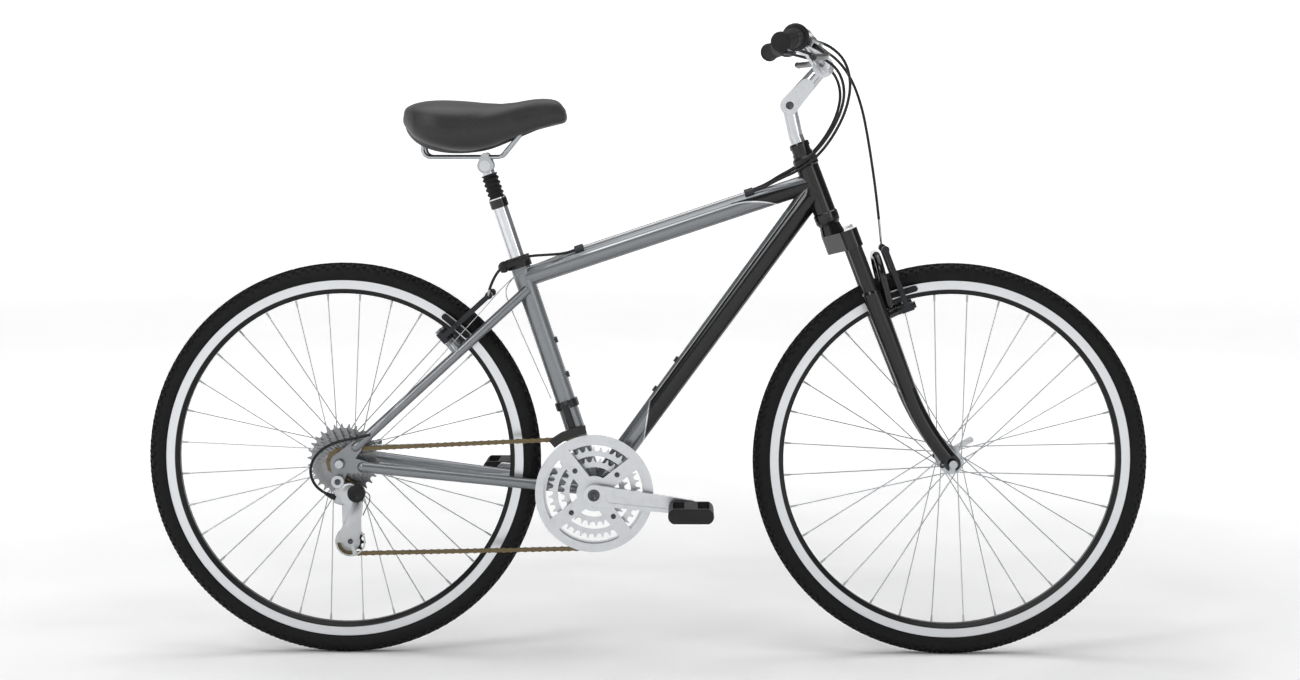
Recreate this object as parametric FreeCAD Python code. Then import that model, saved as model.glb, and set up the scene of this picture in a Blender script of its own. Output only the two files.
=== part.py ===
import FreeCAD, Part
import math
import os

# Hybrid bike, millimetres. X forward, Y to the rider's left, Z up.
# The origin is on the ground midway between the wheels.

# Fits and cuts
RUNNING_FIT = 0.1
BODY_GAP = 0.4
OVERRUN = 5.0
BEND_RUN_SHARE = 0.45

# Layout
WHEELBASE = 1065.0
TYRE_RADIUS = 346.0
BOTTOM_BRACKET_DROP = 53.0
CHAINSTAY_REACH = 442.0
SEAT_ANGLE = 71.5
HEAD_ANGLE = 69.0
DOWN_TUBE_ANGLE = 53.9
TOP_TUBE_ANGLE = 18.4
FORK_RAKE = 51.0

# Frame tubes
SEAT_TUBE_LENGTH = 432.0
SEAT_TUBE_RADIUS = 17.45
TOP_TUBE_HEIGHT = 392.5
TOP_TUBE_RADIUS = 17.2
DOWN_TUBE_LOW_RADIUS = 18.5
DOWN_TUBE_HIGH_RADIUS = 21.0
TUBE_WALL = 1.8
HEAD_TUBE_LENGTH = 108.0
HEAD_TUBE_RADIUS = 20.0
HEAD_RING_RADIUS = 22.0
HEAD_RING_LENGTH = 9.0
SHELL_RADIUS = 21.0
SHELL_BORE_RADIUS = 17.0
SHELL_WIDTH = 68.0
CHAINSTAY_INNER_Y = 23.0
CHAINSTAY_FRONT_RADIUS = 9.5
CHAINSTAY_REAR_RADIUS = 10.0
SEATSTAY_RADIUS = 8.5
SEATSTAY_TOP_Y = 15.0
SEATSTAY_BOW_Y = 47.0
SEATSTAY_MEET = 372.0
SEATSTAY_BOW_SHARE = 0.62
BRIDGE_RADIUS = 7.0
DROPOUT_THICKNESS = 6.5
DROPOUT_RADIUS = 17.0
STAY_END_REACH = 40.0
CHAINSTAY_END_ANGLE = -9.0
SEATSTAY_END_ANGLE = 46.0
STAY_TAB_RADIUS = 11.0
HANGER_DROP = 30.0
HANGER_BACK = -2.0
HANGER_RADIUS = 9.0
BOSS_RADIUS = 5.5
BOSS_HEIGHT = 3.5
BOSS_BORE_RADIUS = 2.1
BOSS_BORE_DEPTH = 14.0
BOSS_SPACING = 64.0
DOWN_BOSS_AT = 205.0
SEAT_BOSS_AT = 208.0
BRIDGE_AT_SHARE = 0.55

# Headset and fork
AXLE_TO_CROWN = 462.0
LOWER_CUP_HEIGHT = 12.0
CUP_RADIUS = 21.5
STACK_HEIGHT = 33.0
STACK_RADIUS = 18.0
STACK_NECK_RADIUS = 16.5
STEERER_RADIUS = 14.3
QUILL_RADIUS = 12.7
CROWN_DROP = 49.0
CROWN_BOSS_RADIUS = 21.0
CROWN_SOCKET_RADIUS = 16.5
CROWN_SOCKET_HEIGHT = 33.0
STANCHION_RADIUS = 13.0
STANCHION_WALL = 2.0
STANCHION_OFFSET = 24.0
STANCHION_Y = 62.0
STANCHION_INSERT = 120.0
LOWERS_TOP = 325.0
LOWERS_RADIUS = 17.2
LEG_TIP_RADIUS = 14.5
LEG_BEND_HEIGHT = 150.0
SEAL_HEIGHT = 8.0
FORK_TRAVEL = 50.0
ARCH_TOP = 384.0
ARCH_FORWARD = 56.0
ARCH_FOOT_HEIGHT = 300.0
ARCH_RADIUS = 7.0
FRONT_DROPOUT_GAP = 100.0
FRONT_DROPOUT_RADIUS = 16.0
FENDER_EYE_RADIUS = 5.5
FENDER_BORE_RADIUS = 2.1
ARCH_ROUND_SHARE = 0.6
ARCH_SEAT_SHARE = 0.7
CUP_FLANGE = 3.0

# Brakes
BRAKE_PIVOT_FORWARD = 74.0
BRAKE_PIVOT_Y = 40.0
BRAKE_POST_RADIUS = 4.0
BRAKE_ARM_LENGTH = 107.0
BRAKE_ARM_WIDTH = 13.0
BRAKE_ARM_THICKNESS = 9.0
BRAKE_PAD_RISE = 25.5
BRAKE_PAD_LENGTH = 60.0
BRAKE_PAD_HEIGHT = 10.0
BRAKE_PAD_THICKNESS = 9.0
BRAKE_PAD_GAP = 2.0
BRAKE_HUB_RADIUS = 8.5
BRAKE_HUB_LENGTH = 22.0
REAR_BRAKE_ANGLE = 50.0

# Wheels
TYRE_WIDTH = 35.0
TYRE_WALL = 3.2
TYRE_HEIGHT_SHARE = 30 / 35
RIM_TRACK_HEIGHT = 16.0
RIM_DEPTH = 24.0
RIM_WIDTH = 24.0
RIM_BED_DEPTH = 10.0
RIM_WALL = 1.8
RIM_NOSE_WIDTH = 11.0
SPOKE_COUNT = 32
SPOKE_CROSSES = 3
SPOKE_RADIUS = 1.0
NIPPLE_RADIUS = 2.0
NIPPLE_LENGTH = 12.0
FLANGE_RADIUS = 22.0
FLANGE_THICKNESS = 3.2
FLANGE_HOLE_INSET = 3.5
FRONT_FLANGE_Y = 34.0
REAR_LEFT_FLANGE_Y = 34.0
REAR_RIGHT_FLANGE_Y = 19.0
HUB_WAIST_RADIUS = 13.0
AXLE_RADIUS = 5.0
LOCKNUT_RADIUS = 8.5
HUB_END_GAP = 9.0
REAR_DROPOUT_GAP = 135.0
SKEWER_NUT_RADIUS = 9.5
SKEWER_NUT_LENGTH = 13.0
QR_LEVER_LENGTH = 52.0
QR_LEVER_WIDTH = 11.0
QR_LEVER_THICKNESS = 5.0
QR_CAM_RADIUS = 9.0
QR_CAM_LENGTH = 4.7
QR_BARREL_RADIUS = 6.5
QR_BARREL_LENGTH = 15.0
NIPPLE_NECK_SHARE = 1.5
HUB_NECK_SHARE = 1.2
NUT_TIP_SHARE = 0.75
LEVER_NECK_SHARE = 0.7
FRONT_LEVER_ANGLE = 30.0
REAR_LEVER_ANGLE = 20.0

# Drive
CHAIN_PITCH = 12.7
CHAIN_LINKS = 112
CHAIN_PLANE_Y = 58.0
ROLLER_RADIUS = 3.85
CHAIN_PLATE_RADIUS = 4.1
CHAIN_WAIST_RADIUS = 3.2
CHAIN_PLATE_THICKNESS = 0.9
CHAIN_INNER_GAP = 2.9
PIN_RADIUS = 1.75
TOOTH_WIDTH = 1.9
TOOTH_SEAT_GAP = 0.3
TOOTH_HEIGHT = 3.6
TOOTH_TIP_WIDTH = 1.8
RING_TEETH = (48, 38, 28)
RING_SPACING = 7.0
RING_BOLT_RADIUS = 52.0
SMALL_RING_BOLT_RADIUS = 32.0
RING_RIM_DEPTH = 9.0
RING_TAB_RADIUS = 7.0
RING_TABS = 4
SPROCKET_TEETH = (11, 13, 15, 17, 20, 23, 26, 30)
SPROCKET_SPACING = 4.8
FREEHUB_RADIUS = 14.5
PULLEY_TEETH = 11
GUIDE_PULLEY_DROP = 58.0
GUIDE_PULLEY_FORWARD = 14.0
PULLEY_DISTANCE = 80.0
CAGE_THICKNESS = 2.0
CAGE_END_RADIUS = 13.0
GUARD_RADIUS = 103.0
GUARD_INNER_RADIUS = 88.0
GUARD_HUB_RADIUS = 31.0
GUARD_ARM_WIDTH = 24.0
GUARD_THICKNESS = 2.4
GUARD_CLEARANCE = 5.0
CRANK_LENGTH = 170.0
CRANK_DROP_ANGLE = 7.2
CRANK_BOSS_RADIUS = 18.0
CRANK_TIP_RADIUS = 13.0
CRANK_THICKNESS = 13.0
CRANK_POCKET_DEPTH = 3.0
CRANK_FACE_Y = 86.0
SPINDLE_RADIUS = 8.5
PEDAL_AXLE_RADIUS = 6.0
PEDAL_LENGTH = 90.0
PEDAL_WIDTH = 78.0
PEDAL_HEIGHT = 27.0
PEDAL_WALL = 8.0
PEDAL_CORE_RADIUS = 11.5
PEDAL_START = 10.0
SEAT_HALF_ANGLE = 75.0
CAGE_ANGLE_LIMITS = (-150.0, -40.0)
CAGE_SOLVE_STEPS = 50
PLATE_NECK_ANGLE = 60.0
PLATE_GAP = 0.12
SPIDER_ANGLE = 45.0
POCKET_SHARE = 0.55
AXLE_COLLAR_SHARE = 1.5
PEDAL_FLAT_SHARE = 0.95
CAGE_HALF_GAP = 5.5
KNUCKLE_RADIUS = 11.0
KNUCKLE_LENGTH = 17.0
CAGE_PIN_RADIUS = 4.0
PULLEY_BOLT_RADIUS = 3.0
LINK_SHARE = 0.6
FD_BAND_AT = 158.0
FD_BAND_HEIGHT = 14.0
FD_BAND_THICKNESS = 3.5
FD_PLATE_THICKNESS = 1.6
FD_CLEARANCE = 2.5
FD_PLATE_DEPTH = 15.0
FD_SPREAD = 22.0
FD_HALF_GAP = 6.5
TENSION_WHEEL = 2
GUIDE_WHEEL = 3

# Seat
POST_RADIUS = 13.6
POST_WALL = 2.0
POST_INSERT = 105.0
POST_COLLAR_AT = 523.0
POST_COLLAR_HEIGHT = 17.0
POST_COLLAR_RADIUS = 16.0
UPPER_POST_RADIUS = 11.0
UPPER_POST_INSERT = 70.0
BOOT_HEIGHT = 44.0
BOOT_FOLDS = 5
BOOT_CREST_RADIUS = 15.0
BOOT_ROOT_RADIUS = 12.6
BOOT_WALL = 1.2
CRADLE_AT = 600.0
CRADLE_RADIUS = 9.5
CRADLE_WIDTH = 56.0
RAIL_RADIUS = 3.5
RAIL_Y = 22.0
SADDLE_LENGTH = 277.0
SADDLE_WIDTH = 200.0
SADDLE_SETBACK = 138.1
SADDLE_RISE = 63.0
SADDLE_BASE_THICKNESS = 8.0
CLAMP_HEIGHT = 20.0
CLAMP_RADIUS = 21.5
CLAMP_LEVER_LENGTH = 42.0
BOOT_FOLD_SHARES = (0.0, 0.35, 0.6, 0.95)
CLAMP_SIDE_WIDTH = 11.0
RAIL_SHARES = ((0.12, 1.3, 0.13), (0.10, 1.2, 0.0), (0.30, 1.0, 0.0), (0.60, 1.0, 0.0), (0.74, 0.8, 0.17))
RAIL_BEND_SHARE = 4.0
SADDLE_SIDE_SHARE = 0.5
SADDLE_BOTTOM_WIDTH_SHARE = 0.74
SADDLE_BULGE_SHARE = 0.96
SADDLE_TOP = 40.0
SADDLE_DEPTH = 58.0
SADDLE_SHARES = ((0.0, 0.50, 0.45, -0.10), (0.07, 0.86, 0.80, -0.62), (0.20, 1.0, 0.92, -0.90),
                 (0.36, 0.93, 0.86, -0.97), (0.52, 0.66, 0.74, -0.86), (0.66, 0.40, 0.80, -0.60),
                 (0.80, 0.27, 0.98, -0.32), (0.92, 0.22, 0.92, -0.08), (1.0, 0.12, 0.30, 0.05))
CLAMP_LUG = 11.0
CLAMP_SLOT = 1.0
CLAMP_BOLT_RADIUS = 3.0
CLAMP_NUT_RADIUS = 7.5
CLAMP_LEVER_ANGLE = 25.0

# Cockpit
STEM_PIVOT_AT = 681.0
STEM_PIVOT_FORWARD = 8.0
STEM_KNUCKLE_RADIUS = 16.0
STEM_WIDTH = 34.0
STEM_FORK_WALL = 7.0
STEM_ARM_LENGTH = 88.0
STEM_ARM_ANGLE = 49.0
STEM_ARM_RADIUS = 13.0
QUILL_INSERT = 70.0
BAR_CLAMP_RADIUS = 18.5
BAR_CLAMP_WIDTH = 42.0
BAR_RADIUS = 11.1
BAR_BULGE_RADIUS = 12.7
BAR_BULGE_LENGTH = 60.0
BAR_HALF_WIDTH = 300.0
BAR_RISE = 53.5
BAR_GRIP_BACK = 84.0
BAR_GRIP_RISE = 34.0
BAR_KNEE_Y = 50.0
BAR_SHOULDER_Y = 105.0
BAR_SHOULDER_BACK = 34.5
BAR_BEND_RADIUS = 45.0
GRIP_RADIUS = 15.5
GRIP_END_RADIUS = 17.0
GRIP_LENGTH = 64.0
GRIP_END_LENGTH = 4.0
TWIST_LENGTH = 50.0
TWIST_RADIUS = 16.5
TWIST_RIBS = 18
TWIST_RIB_RADIUS = 1.6
HOUSING_LENGTH = 18.0
HOUSING_RADIUS = 23.5
BRACKET_LENGTH = 16.0
BRACKET_RADIUS = 15.5
LEVER_PIVOT_OUT = 36.0
LEVER_DROP_ANGLE = 27.0
LEVER_REACH = 62.0
LEVER_LENGTH = 118.0
LEVER_RADIUS = 5.5
LEVER_HUB_RADIUS = 8.0
LEVER_THICKNESS = 8.0
STEM_PIN_RADIUS = 5.0
STEM_TAPER_SHARE = 1.15
FACEPLATE_GAP = 1.2
GROOVE_SHARE = 0.1
LEVER_PIN_RADIUS = 3.0
EAR_THICKNESS = 4.0
BARREL_SHARE = 0.58
BARREL_LENGTH = 26.0
LEVER_SHARES = ((0.9, 0.16), (1.1, 0.52), (0.75, 1.0))
LEVER_BALL_SHARE = 1.2

# Routes of the cables, chosen by hand along the bike: x, y, z
HOUSING_CABLE_RADIUS = 2.5
WIRE_RADIUS = 0.8
FRONT_BRAKE_HOUSING = ((282.1, 141, 1074), (289, 116, 1074), (312, 96, 1066), (340, 80, 1045), (364, 70,
                                                                                                1008),
                       (380, 63, 960), (390, 59, 908), (398, 58, 858), (405, 58, 810), (410, 58, 766))
REAR_BRAKE_HOUSING = ((282.1, -141, 1074), (289, -116, 1074), (314, -96, 1066), (340, -78, 1044), (352, -62,
                                                                                                   1006),
                      (346, -50, 962), (326, -42, 918), (298, -37, 880), (264, -31, 854), (228, -20, 838))
SHIFT_HOUSING_RIGHT = ((246, -169, 1061), (254, -140, 1060), (274, -114, 1054), (303, -92, 1046), (330, -74,
                                                                                                   1026),
                       (342, -58, 992), (336, -46, 955), (318, -38, 918), (292, -33, 884), (260, -28, 858),
                       (228, -10, 842))
SHIFT_HOUSING_LEFT = ((246, 169, 1061), (254, 140, 1060), (274, 114, 1054), (303, 92, 1046), (330, 74, 1026),
                      (342, 58, 992), (336, 46, 955), (318, 38, 918), (292, 33, 884), (260, 30, 858),
                      (228, 20, 842))
REAR_BRAKE_TAIL = ((-170, -19, 707), (-202, -35, 706), (-230, -47, 700), (-252, -54, 686), (-266, -56, 666),
                   (-272, -56, 648))
REAR_SHIFT_TAIL = ((-478, -82, 398), (-502, -83, 392), (-526, -84, 388), (-550, -84, 380), (-572, -81, 364),
                   (-584, -78, 342), (-582, -77, 318), (-566, -80, 298), (-544, -86, 290))
REAR_SHIFT_WIRE = ((-180, -24, 695), (-228, -30, 676), (-290, -54, 606), (-345, -64, 545),
                   (-478, -82, 398))
FRONT_SHIFT_WIRE = ((-188, 26, 692), (-226, 26, 674), (-250, 6, 648), (-244, -1, 620),
                    (-168, -4, 452))
STOP_RADIUS = 4.5
STOP_LENGTH = 16.0
STOP_FRONT_X = 192.0
STOP_REAR_X = -120.0
STOP_LIFT = 3.5
STOP_SPREAD = 10.0
NOODLE_RADIUS = 2.2


def vec(x, y, z):
    return FreeCAD.Vector(x, y, z)


ORIGIN = vec(0, 0, 0)
X_AXIS = vec(1, 0, 0)
Y_AXIS = vec(0, 1, 0)
Z_AXIS = vec(0, 0, 1)


def heading(angle):
    """Unit vector in the side plane at an angle above the forward direction."""
    turn = math.radians(angle)
    return vec(math.cos(turn), 0, math.sin(turn))


# Places worked out from the layout
REAR_AXLE = vec(-WHEELBASE / 2, 0, TYRE_RADIUS)
FRONT_AXLE = vec(WHEELBASE / 2, 0, TYRE_RADIUS)
RIM_OUTER_RADIUS = TYRE_RADIUS - TYRE_WIDTH * TYRE_HEIGHT_SHARE
RIM_TRACK_BOTTOM = RIM_OUTER_RADIUS - RIM_TRACK_HEIGHT
RIM_INNER_RADIUS = RIM_OUTER_RADIUS - RIM_DEPTH
RIM_BED_RADIUS = RIM_OUTER_RADIUS - RIM_BED_DEPTH
CRANK_CENTRE = REAR_AXLE + vec(CHAINSTAY_REACH, 0, -BOTTOM_BRACKET_DROP)
SEAT_UP = heading(180 - SEAT_ANGLE)
SEAT_FORWARD = heading(90 - SEAT_ANGLE)
STEER_UP = heading(180 - HEAD_ANGLE)
STEER_FORWARD = heading(90 - HEAD_ANGLE)
STEER_FOOT = FRONT_AXLE - STEER_FORWARD * FORK_RAKE
HEAD_BOTTOM = AXLE_TO_CROWN + LOWER_CUP_HEIGHT
HEAD_TOP = HEAD_BOTTOM + HEAD_TUBE_LENGTH
STACK_TOP = HEAD_TOP + STACK_HEIGHT


def on_steer(up, forward=0, y=0):
    """Point by its height along the steering axis, forward of it and to the side."""
    return STEER_FOOT + STEER_UP * up + STEER_FORWARD * forward + Y_AXIS * y


def on_seat(up, forward=0, y=0):
    """Point by its height along the seat tube, forward of it and to the side."""
    return CRANK_CENTRE + SEAT_UP * up + SEAT_FORWARD * forward + Y_AXIS * y


def meet(point, direction, base, line):
    """Where two lines of the side plane cross."""
    gap = base - point
    cross = direction.x * line.z - direction.z * line.x
    reach = (gap.x * line.z - gap.z * line.x) / cross
    return point + direction * reach


TOP_TUBE_REAR = on_seat(TOP_TUBE_HEIGHT)
TOP_TUBE_FRONT = meet(TOP_TUBE_REAR, heading(TOP_TUBE_ANGLE), STEER_FOOT, STEER_UP)
DOWN_TUBE_FRONT = meet(CRANK_CENTRE, heading(DOWN_TUBE_ANGLE), STEER_FOOT, STEER_UP)
SHELL_HALF = SHELL_WIDTH / 2
REAR_HALF = REAR_DROPOUT_GAP / 2
FRONT_HALF = FRONT_DROPOUT_GAP / 2


def rod(start, end, radius):
    span = end - start
    return Part.makeCylinder(radius, span.Length, start, span)


def cone(start, end, start_radius, end_radius):
    span = end - start
    return Part.makeCone(start_radius, end_radius, span.Length, start, span)


def centred_rod(middle, axis, length, radius):
    return rod(middle - axis * (length / 2), middle + axis * (length / 2), radius)


def fuse(shapes):
    return shapes[0].fuse(shapes[1:]).removeSplitter()


def mirrored(shape):
    return shape.mirror(ORIGIN, Y_AXIS)


def pair(shape):
    return Part.makeCompound([shape, mirrored(shape)])


def group(*shapes):
    """Separate solids of one node."""
    return Part.makeCompound([solid for shape in shapes for solid in shape.Solids])


def slab(points, depth):
    """Flat outline of straight sides, given thickness."""
    return Part.Face(Part.makePolygon(points + points[:1])).extrude(depth)


def link(start, end, start_radius, end_radius, depth):
    """Plate with two round ends joined by tangent sides."""
    along = end - start
    length = along.Length
    along.normalize()
    across = FreeCAD.Vector(depth).normalize().cross(along)
    lean = (start_radius - end_radius) / length
    swing = math.sqrt(1 - lean * lean)
    left = along * lean + across * swing
    right = along * lean - across * swing
    corners = [start + left * start_radius, end + left * end_radius,
               end + right * end_radius, start + right * start_radius]
    edges = [Part.LineSegment(corners[0], corners[1]).toShape(),
             Part.Arc(corners[1], end + along * end_radius, corners[2]).toShape(),
             Part.LineSegment(corners[2], corners[3]).toShape(),
             Part.Arc(corners[3], start - along * start_radius, corners[0]).toShape()]
    return Part.Face(Part.Wire(edges)).extrude(depth)


def turned(profile, base, axis, side):
    """Solid of revolution from pairs of radius and distance along the axis."""
    points = [base + side * radius + axis * along for radius, along in profile]
    return Part.Face(Part.makePolygon(points + points[:1])).revolve(base, axis, 360)


def bend_radius(before, point, after):
    """Largest radius that the two runs beside a point leave room for."""
    first = before - point
    second = after - point
    half_turn = (math.pi - first.getAngle(second)) / 2
    return BEND_RUN_SHARE * min(first.Length, second.Length) / math.tan(half_turn)


def rounded_path(points, radius=None):
    """Straight runs joined by tangent arcs, of one radius or as large as the runs allow."""
    edges = []
    last = points[0]
    for before, point, after in zip(points, points[1:], points[2:]):
        first = (before - point).normalize()
        second = (after - point).normalize()
        half_turn = (math.pi - first.getAngle(second)) / 2
        bend = radius or bend_radius(before, point, after)
        reach = bend * math.tan(half_turn)
        inward = (first + second).normalize()
        middle = point + inward * (bend / math.cos(half_turn) - bend)
        start = point + first * reach
        edges.append(Part.LineSegment(last, start).toShape())
        last = point + second * reach
        edges.append(Part.Arc(start, middle, last).toShape())
    edges.append(Part.LineSegment(last, points[-1]).toShape())
    return Part.Wire(edges)


def swept(points, radius, bend=None):
    """Round bar along a path of straight runs and tangent arcs."""
    path = rounded_path(points, bend)
    section = Part.Wire(Part.makeCircle(radius, points[0], points[1] - points[0]))
    return path.makePipeShell([section], True, False)


def head_tube():
    bottom = on_steer(HEAD_BOTTOM)
    half_taper = HEAD_RING_RADIUS - HEAD_TUBE_RADIUS
    top = HEAD_TUBE_LENGTH
    profile = [(STEERER_CAVITY, 0), (HEAD_RING_RADIUS, 0), (HEAD_RING_RADIUS, HEAD_RING_LENGTH),
               (HEAD_TUBE_RADIUS, HEAD_RING_LENGTH + half_taper),
               (HEAD_TUBE_RADIUS, top - HEAD_RING_LENGTH - half_taper),
               (HEAD_RING_RADIUS, top - HEAD_RING_LENGTH), (HEAD_RING_RADIUS, top), (STEERER_CAVITY, top)]
    return turned(profile, bottom, STEER_UP, STEER_FORWARD)


STEERER_CAVITY = HEAD_TUBE_RADIUS - TUBE_WALL


def head_tube_space():
    return rod(on_steer(HEAD_BOTTOM - OVERRUN), on_steer(HEAD_TOP + OVERRUN), HEAD_TUBE_RADIUS)


def seat_tube_space():
    return rod(CRANK_CENTRE, on_seat(SEAT_TUBE_LENGTH + OVERRUN), SEAT_TUBE_RADIUS)


def shell_space():
    return centred_rod(CRANK_CENTRE, Y_AXIS, SHELL_WIDTH, SHELL_RADIUS)


def hollow_tube(start, end, start_radius, end_radius):
    bore_start = start_radius - TUBE_WALL
    bore_end = end_radius - TUBE_WALL
    if start_radius == end_radius:
        return rod(start, end, start_radius).cut(rod(start, end, bore_start))
    return cone(start, end, start_radius, end_radius).cut(cone(start, end, bore_start, bore_end))


def largest(shape):
    return max(shape.Solids, key=lambda solid: solid.Volume)


def top_tube():
    tube = hollow_tube(TOP_TUBE_REAR, TOP_TUBE_FRONT, TOP_TUBE_RADIUS, TOP_TUBE_RADIUS)
    return largest(tube.cut(head_tube_space()).cut(seat_tube_space()))


def down_tube():
    tube = hollow_tube(CRANK_CENTRE, DOWN_TUBE_FRONT, DOWN_TUBE_LOW_RADIUS, DOWN_TUBE_HIGH_RADIUS)
    tube = tube.cut([head_tube_space(), shell_space(), top_tube_space(), seat_tube_space()])
    return largest(tube)


def top_tube_space():
    return rod(TOP_TUBE_REAR, TOP_TUBE_FRONT, TOP_TUBE_RADIUS)


def seat_tube():
    tube = rod(CRANK_CENTRE, on_seat(SEAT_TUBE_LENGTH), SEAT_TUBE_RADIUS)
    bore = rod(CRANK_CENTRE, on_seat(SEAT_TUBE_LENGTH + OVERRUN), POST_RADIUS + RUNNING_FIT)
    return largest(tube.cut([bore, shell_space()]))


def bottom_bracket_shell():
    bore = centred_rod(CRANK_CENTRE, Y_AXIS, SHELL_WIDTH + OVERRUN, SHELL_BORE_RADIUS)
    return shell_space().cut(bore)


DROPOUT_MIDDLE_Y = REAR_HALF + DROPOUT_THICKNESS / 2
CHAINSTAY_END = REAR_AXLE + heading(CHAINSTAY_END_ANGLE) * STAY_END_REACH + Y_AXIS * DROPOUT_MIDDLE_Y
SEATSTAY_END = REAR_AXLE + heading(SEATSTAY_END_ANGLE) * STAY_END_REACH + Y_AXIS * DROPOUT_MIDDLE_Y


def dropout_outline(depth):
    """Plate round the rear axle with a tab to each stay."""
    base = REAR_AXLE + Y_AXIS * REAR_HALF
    shift = Y_AXIS * (DROPOUT_THICKNESS / 2)
    tabs = [link(base, end - shift, DROPOUT_RADIUS, STAY_TAB_RADIUS, depth)
            for end in (CHAINSTAY_END, SEATSTAY_END)]
    return tabs


HANGER_EYE = REAR_AXLE + vec(HANGER_BACK, 0, -HANGER_DROP)


def dropouts():
    depth = Y_AXIS * DROPOUT_THICKNESS
    base = REAR_AXLE + Y_AXIS * REAR_HALF
    hole = centred_rod(base, Y_AXIS, REAR_DROPOUT_GAP, AXLE_RADIUS)
    mouth = slab([base + vec(0, -OVERRUN, AXLE_RADIUS), base + vec(0, -OVERRUN, -AXLE_RADIUS),
                  base + vec(AXLE_RADIUS, -OVERRUN, -DROPOUT_RADIUS - OVERRUN),
                  base + vec(AXLE_RADIUS * 3, -OVERRUN, -DROPOUT_RADIUS - OVERRUN)], depth * 3)
    plate = fuse(dropout_outline(depth))
    eye = HANGER_EYE + Y_AXIS * REAR_HALF
    hanger = link(base, eye, DROPOUT_RADIUS, HANGER_RADIUS, depth)
    left = plate.cut([hole, mouth])
    right = mirrored(plate.fuse(hanger).removeSplitter().cut(hole))
    thread = centred_rod(HANGER_EYE - Y_AXIS * REAR_HALF, Y_AXIS, REAR_DROPOUT_GAP, HANGER_BOLT_RADIUS)
    return Part.makeCompound([left, right.cut(thread)])


HANGER_BOLT_RADIUS = AXLE_RADIUS


def rear_plates_space():
    depth = Y_AXIS * DROPOUT_THICKNESS
    return fuse(dropout_outline(depth))


def chain_stay():
    front = CRANK_CENTRE + Y_AXIS * CHAINSTAY_INNER_Y
    stay = cone(front, CHAINSTAY_END, CHAINSTAY_FRONT_RADIUS, CHAINSTAY_REAR_RADIUS)
    cap = Part.makeSphere(CHAINSTAY_REAR_RADIUS, CHAINSTAY_END)
    joint = centred_rod(CRANK_CENTRE, Y_AXIS, SHELL_WIDTH + OVERRUN * 4, SHELL_RADIUS)
    return largest(stay.fuse(cap).removeSplitter().cut([joint, rear_plates_space(), seat_tube_space()]))


def seat_stay_points():
    top = on_seat(SEATSTAY_MEET, 0, SEATSTAY_TOP_Y)
    bow = SEATSTAY_END + (top - SEATSTAY_END) * SEATSTAY_BOW_SHARE
    bow.y = SEATSTAY_BOW_Y
    return [SEATSTAY_END, bow, top]


def seat_stay():
    points = seat_stay_points()
    stay = swept(points, SEATSTAY_RADIUS)
    cap = Part.makeSphere(SEATSTAY_RADIUS, SEATSTAY_END)
    return largest(stay.fuse(cap).removeSplitter().cut([rear_plates_space(), seat_tube_space()]))


def seat_stays():
    top = seat_stay_points()[2]
    bow = seat_stay_points()[1]
    spot = bow + (top - bow) * BRIDGE_AT_SHARE
    bridge = rod(vec(spot.x, spot.y, spot.z), vec(spot.x, -spot.y, spot.z), BRIDGE_RADIUS)
    stays = seat_stay()
    boss = rear_brake_boss()
    return fuse([stays, mirrored(stays), bridge, boss, mirrored(boss)])


def chain_stays():
    return pair(chain_stay())


TRACK_RADIUS = (RIM_OUTER_RADIUS + RIM_TRACK_BOTTOM) / 2
BRAKE_POST_TIP = BRAKE_HUB_LENGTH / 2 + BODY_GAP
BRAKE_BOLT_RADIUS = BRAKE_POST_RADIUS * 1.5
BRAKE_BOLT_HEIGHT = BRAKE_POST_RADIUS
BRAKE_BASE_RADIUS = BRAKE_HUB_RADIUS - BRAKE_POST_RADIUS / 4


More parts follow.
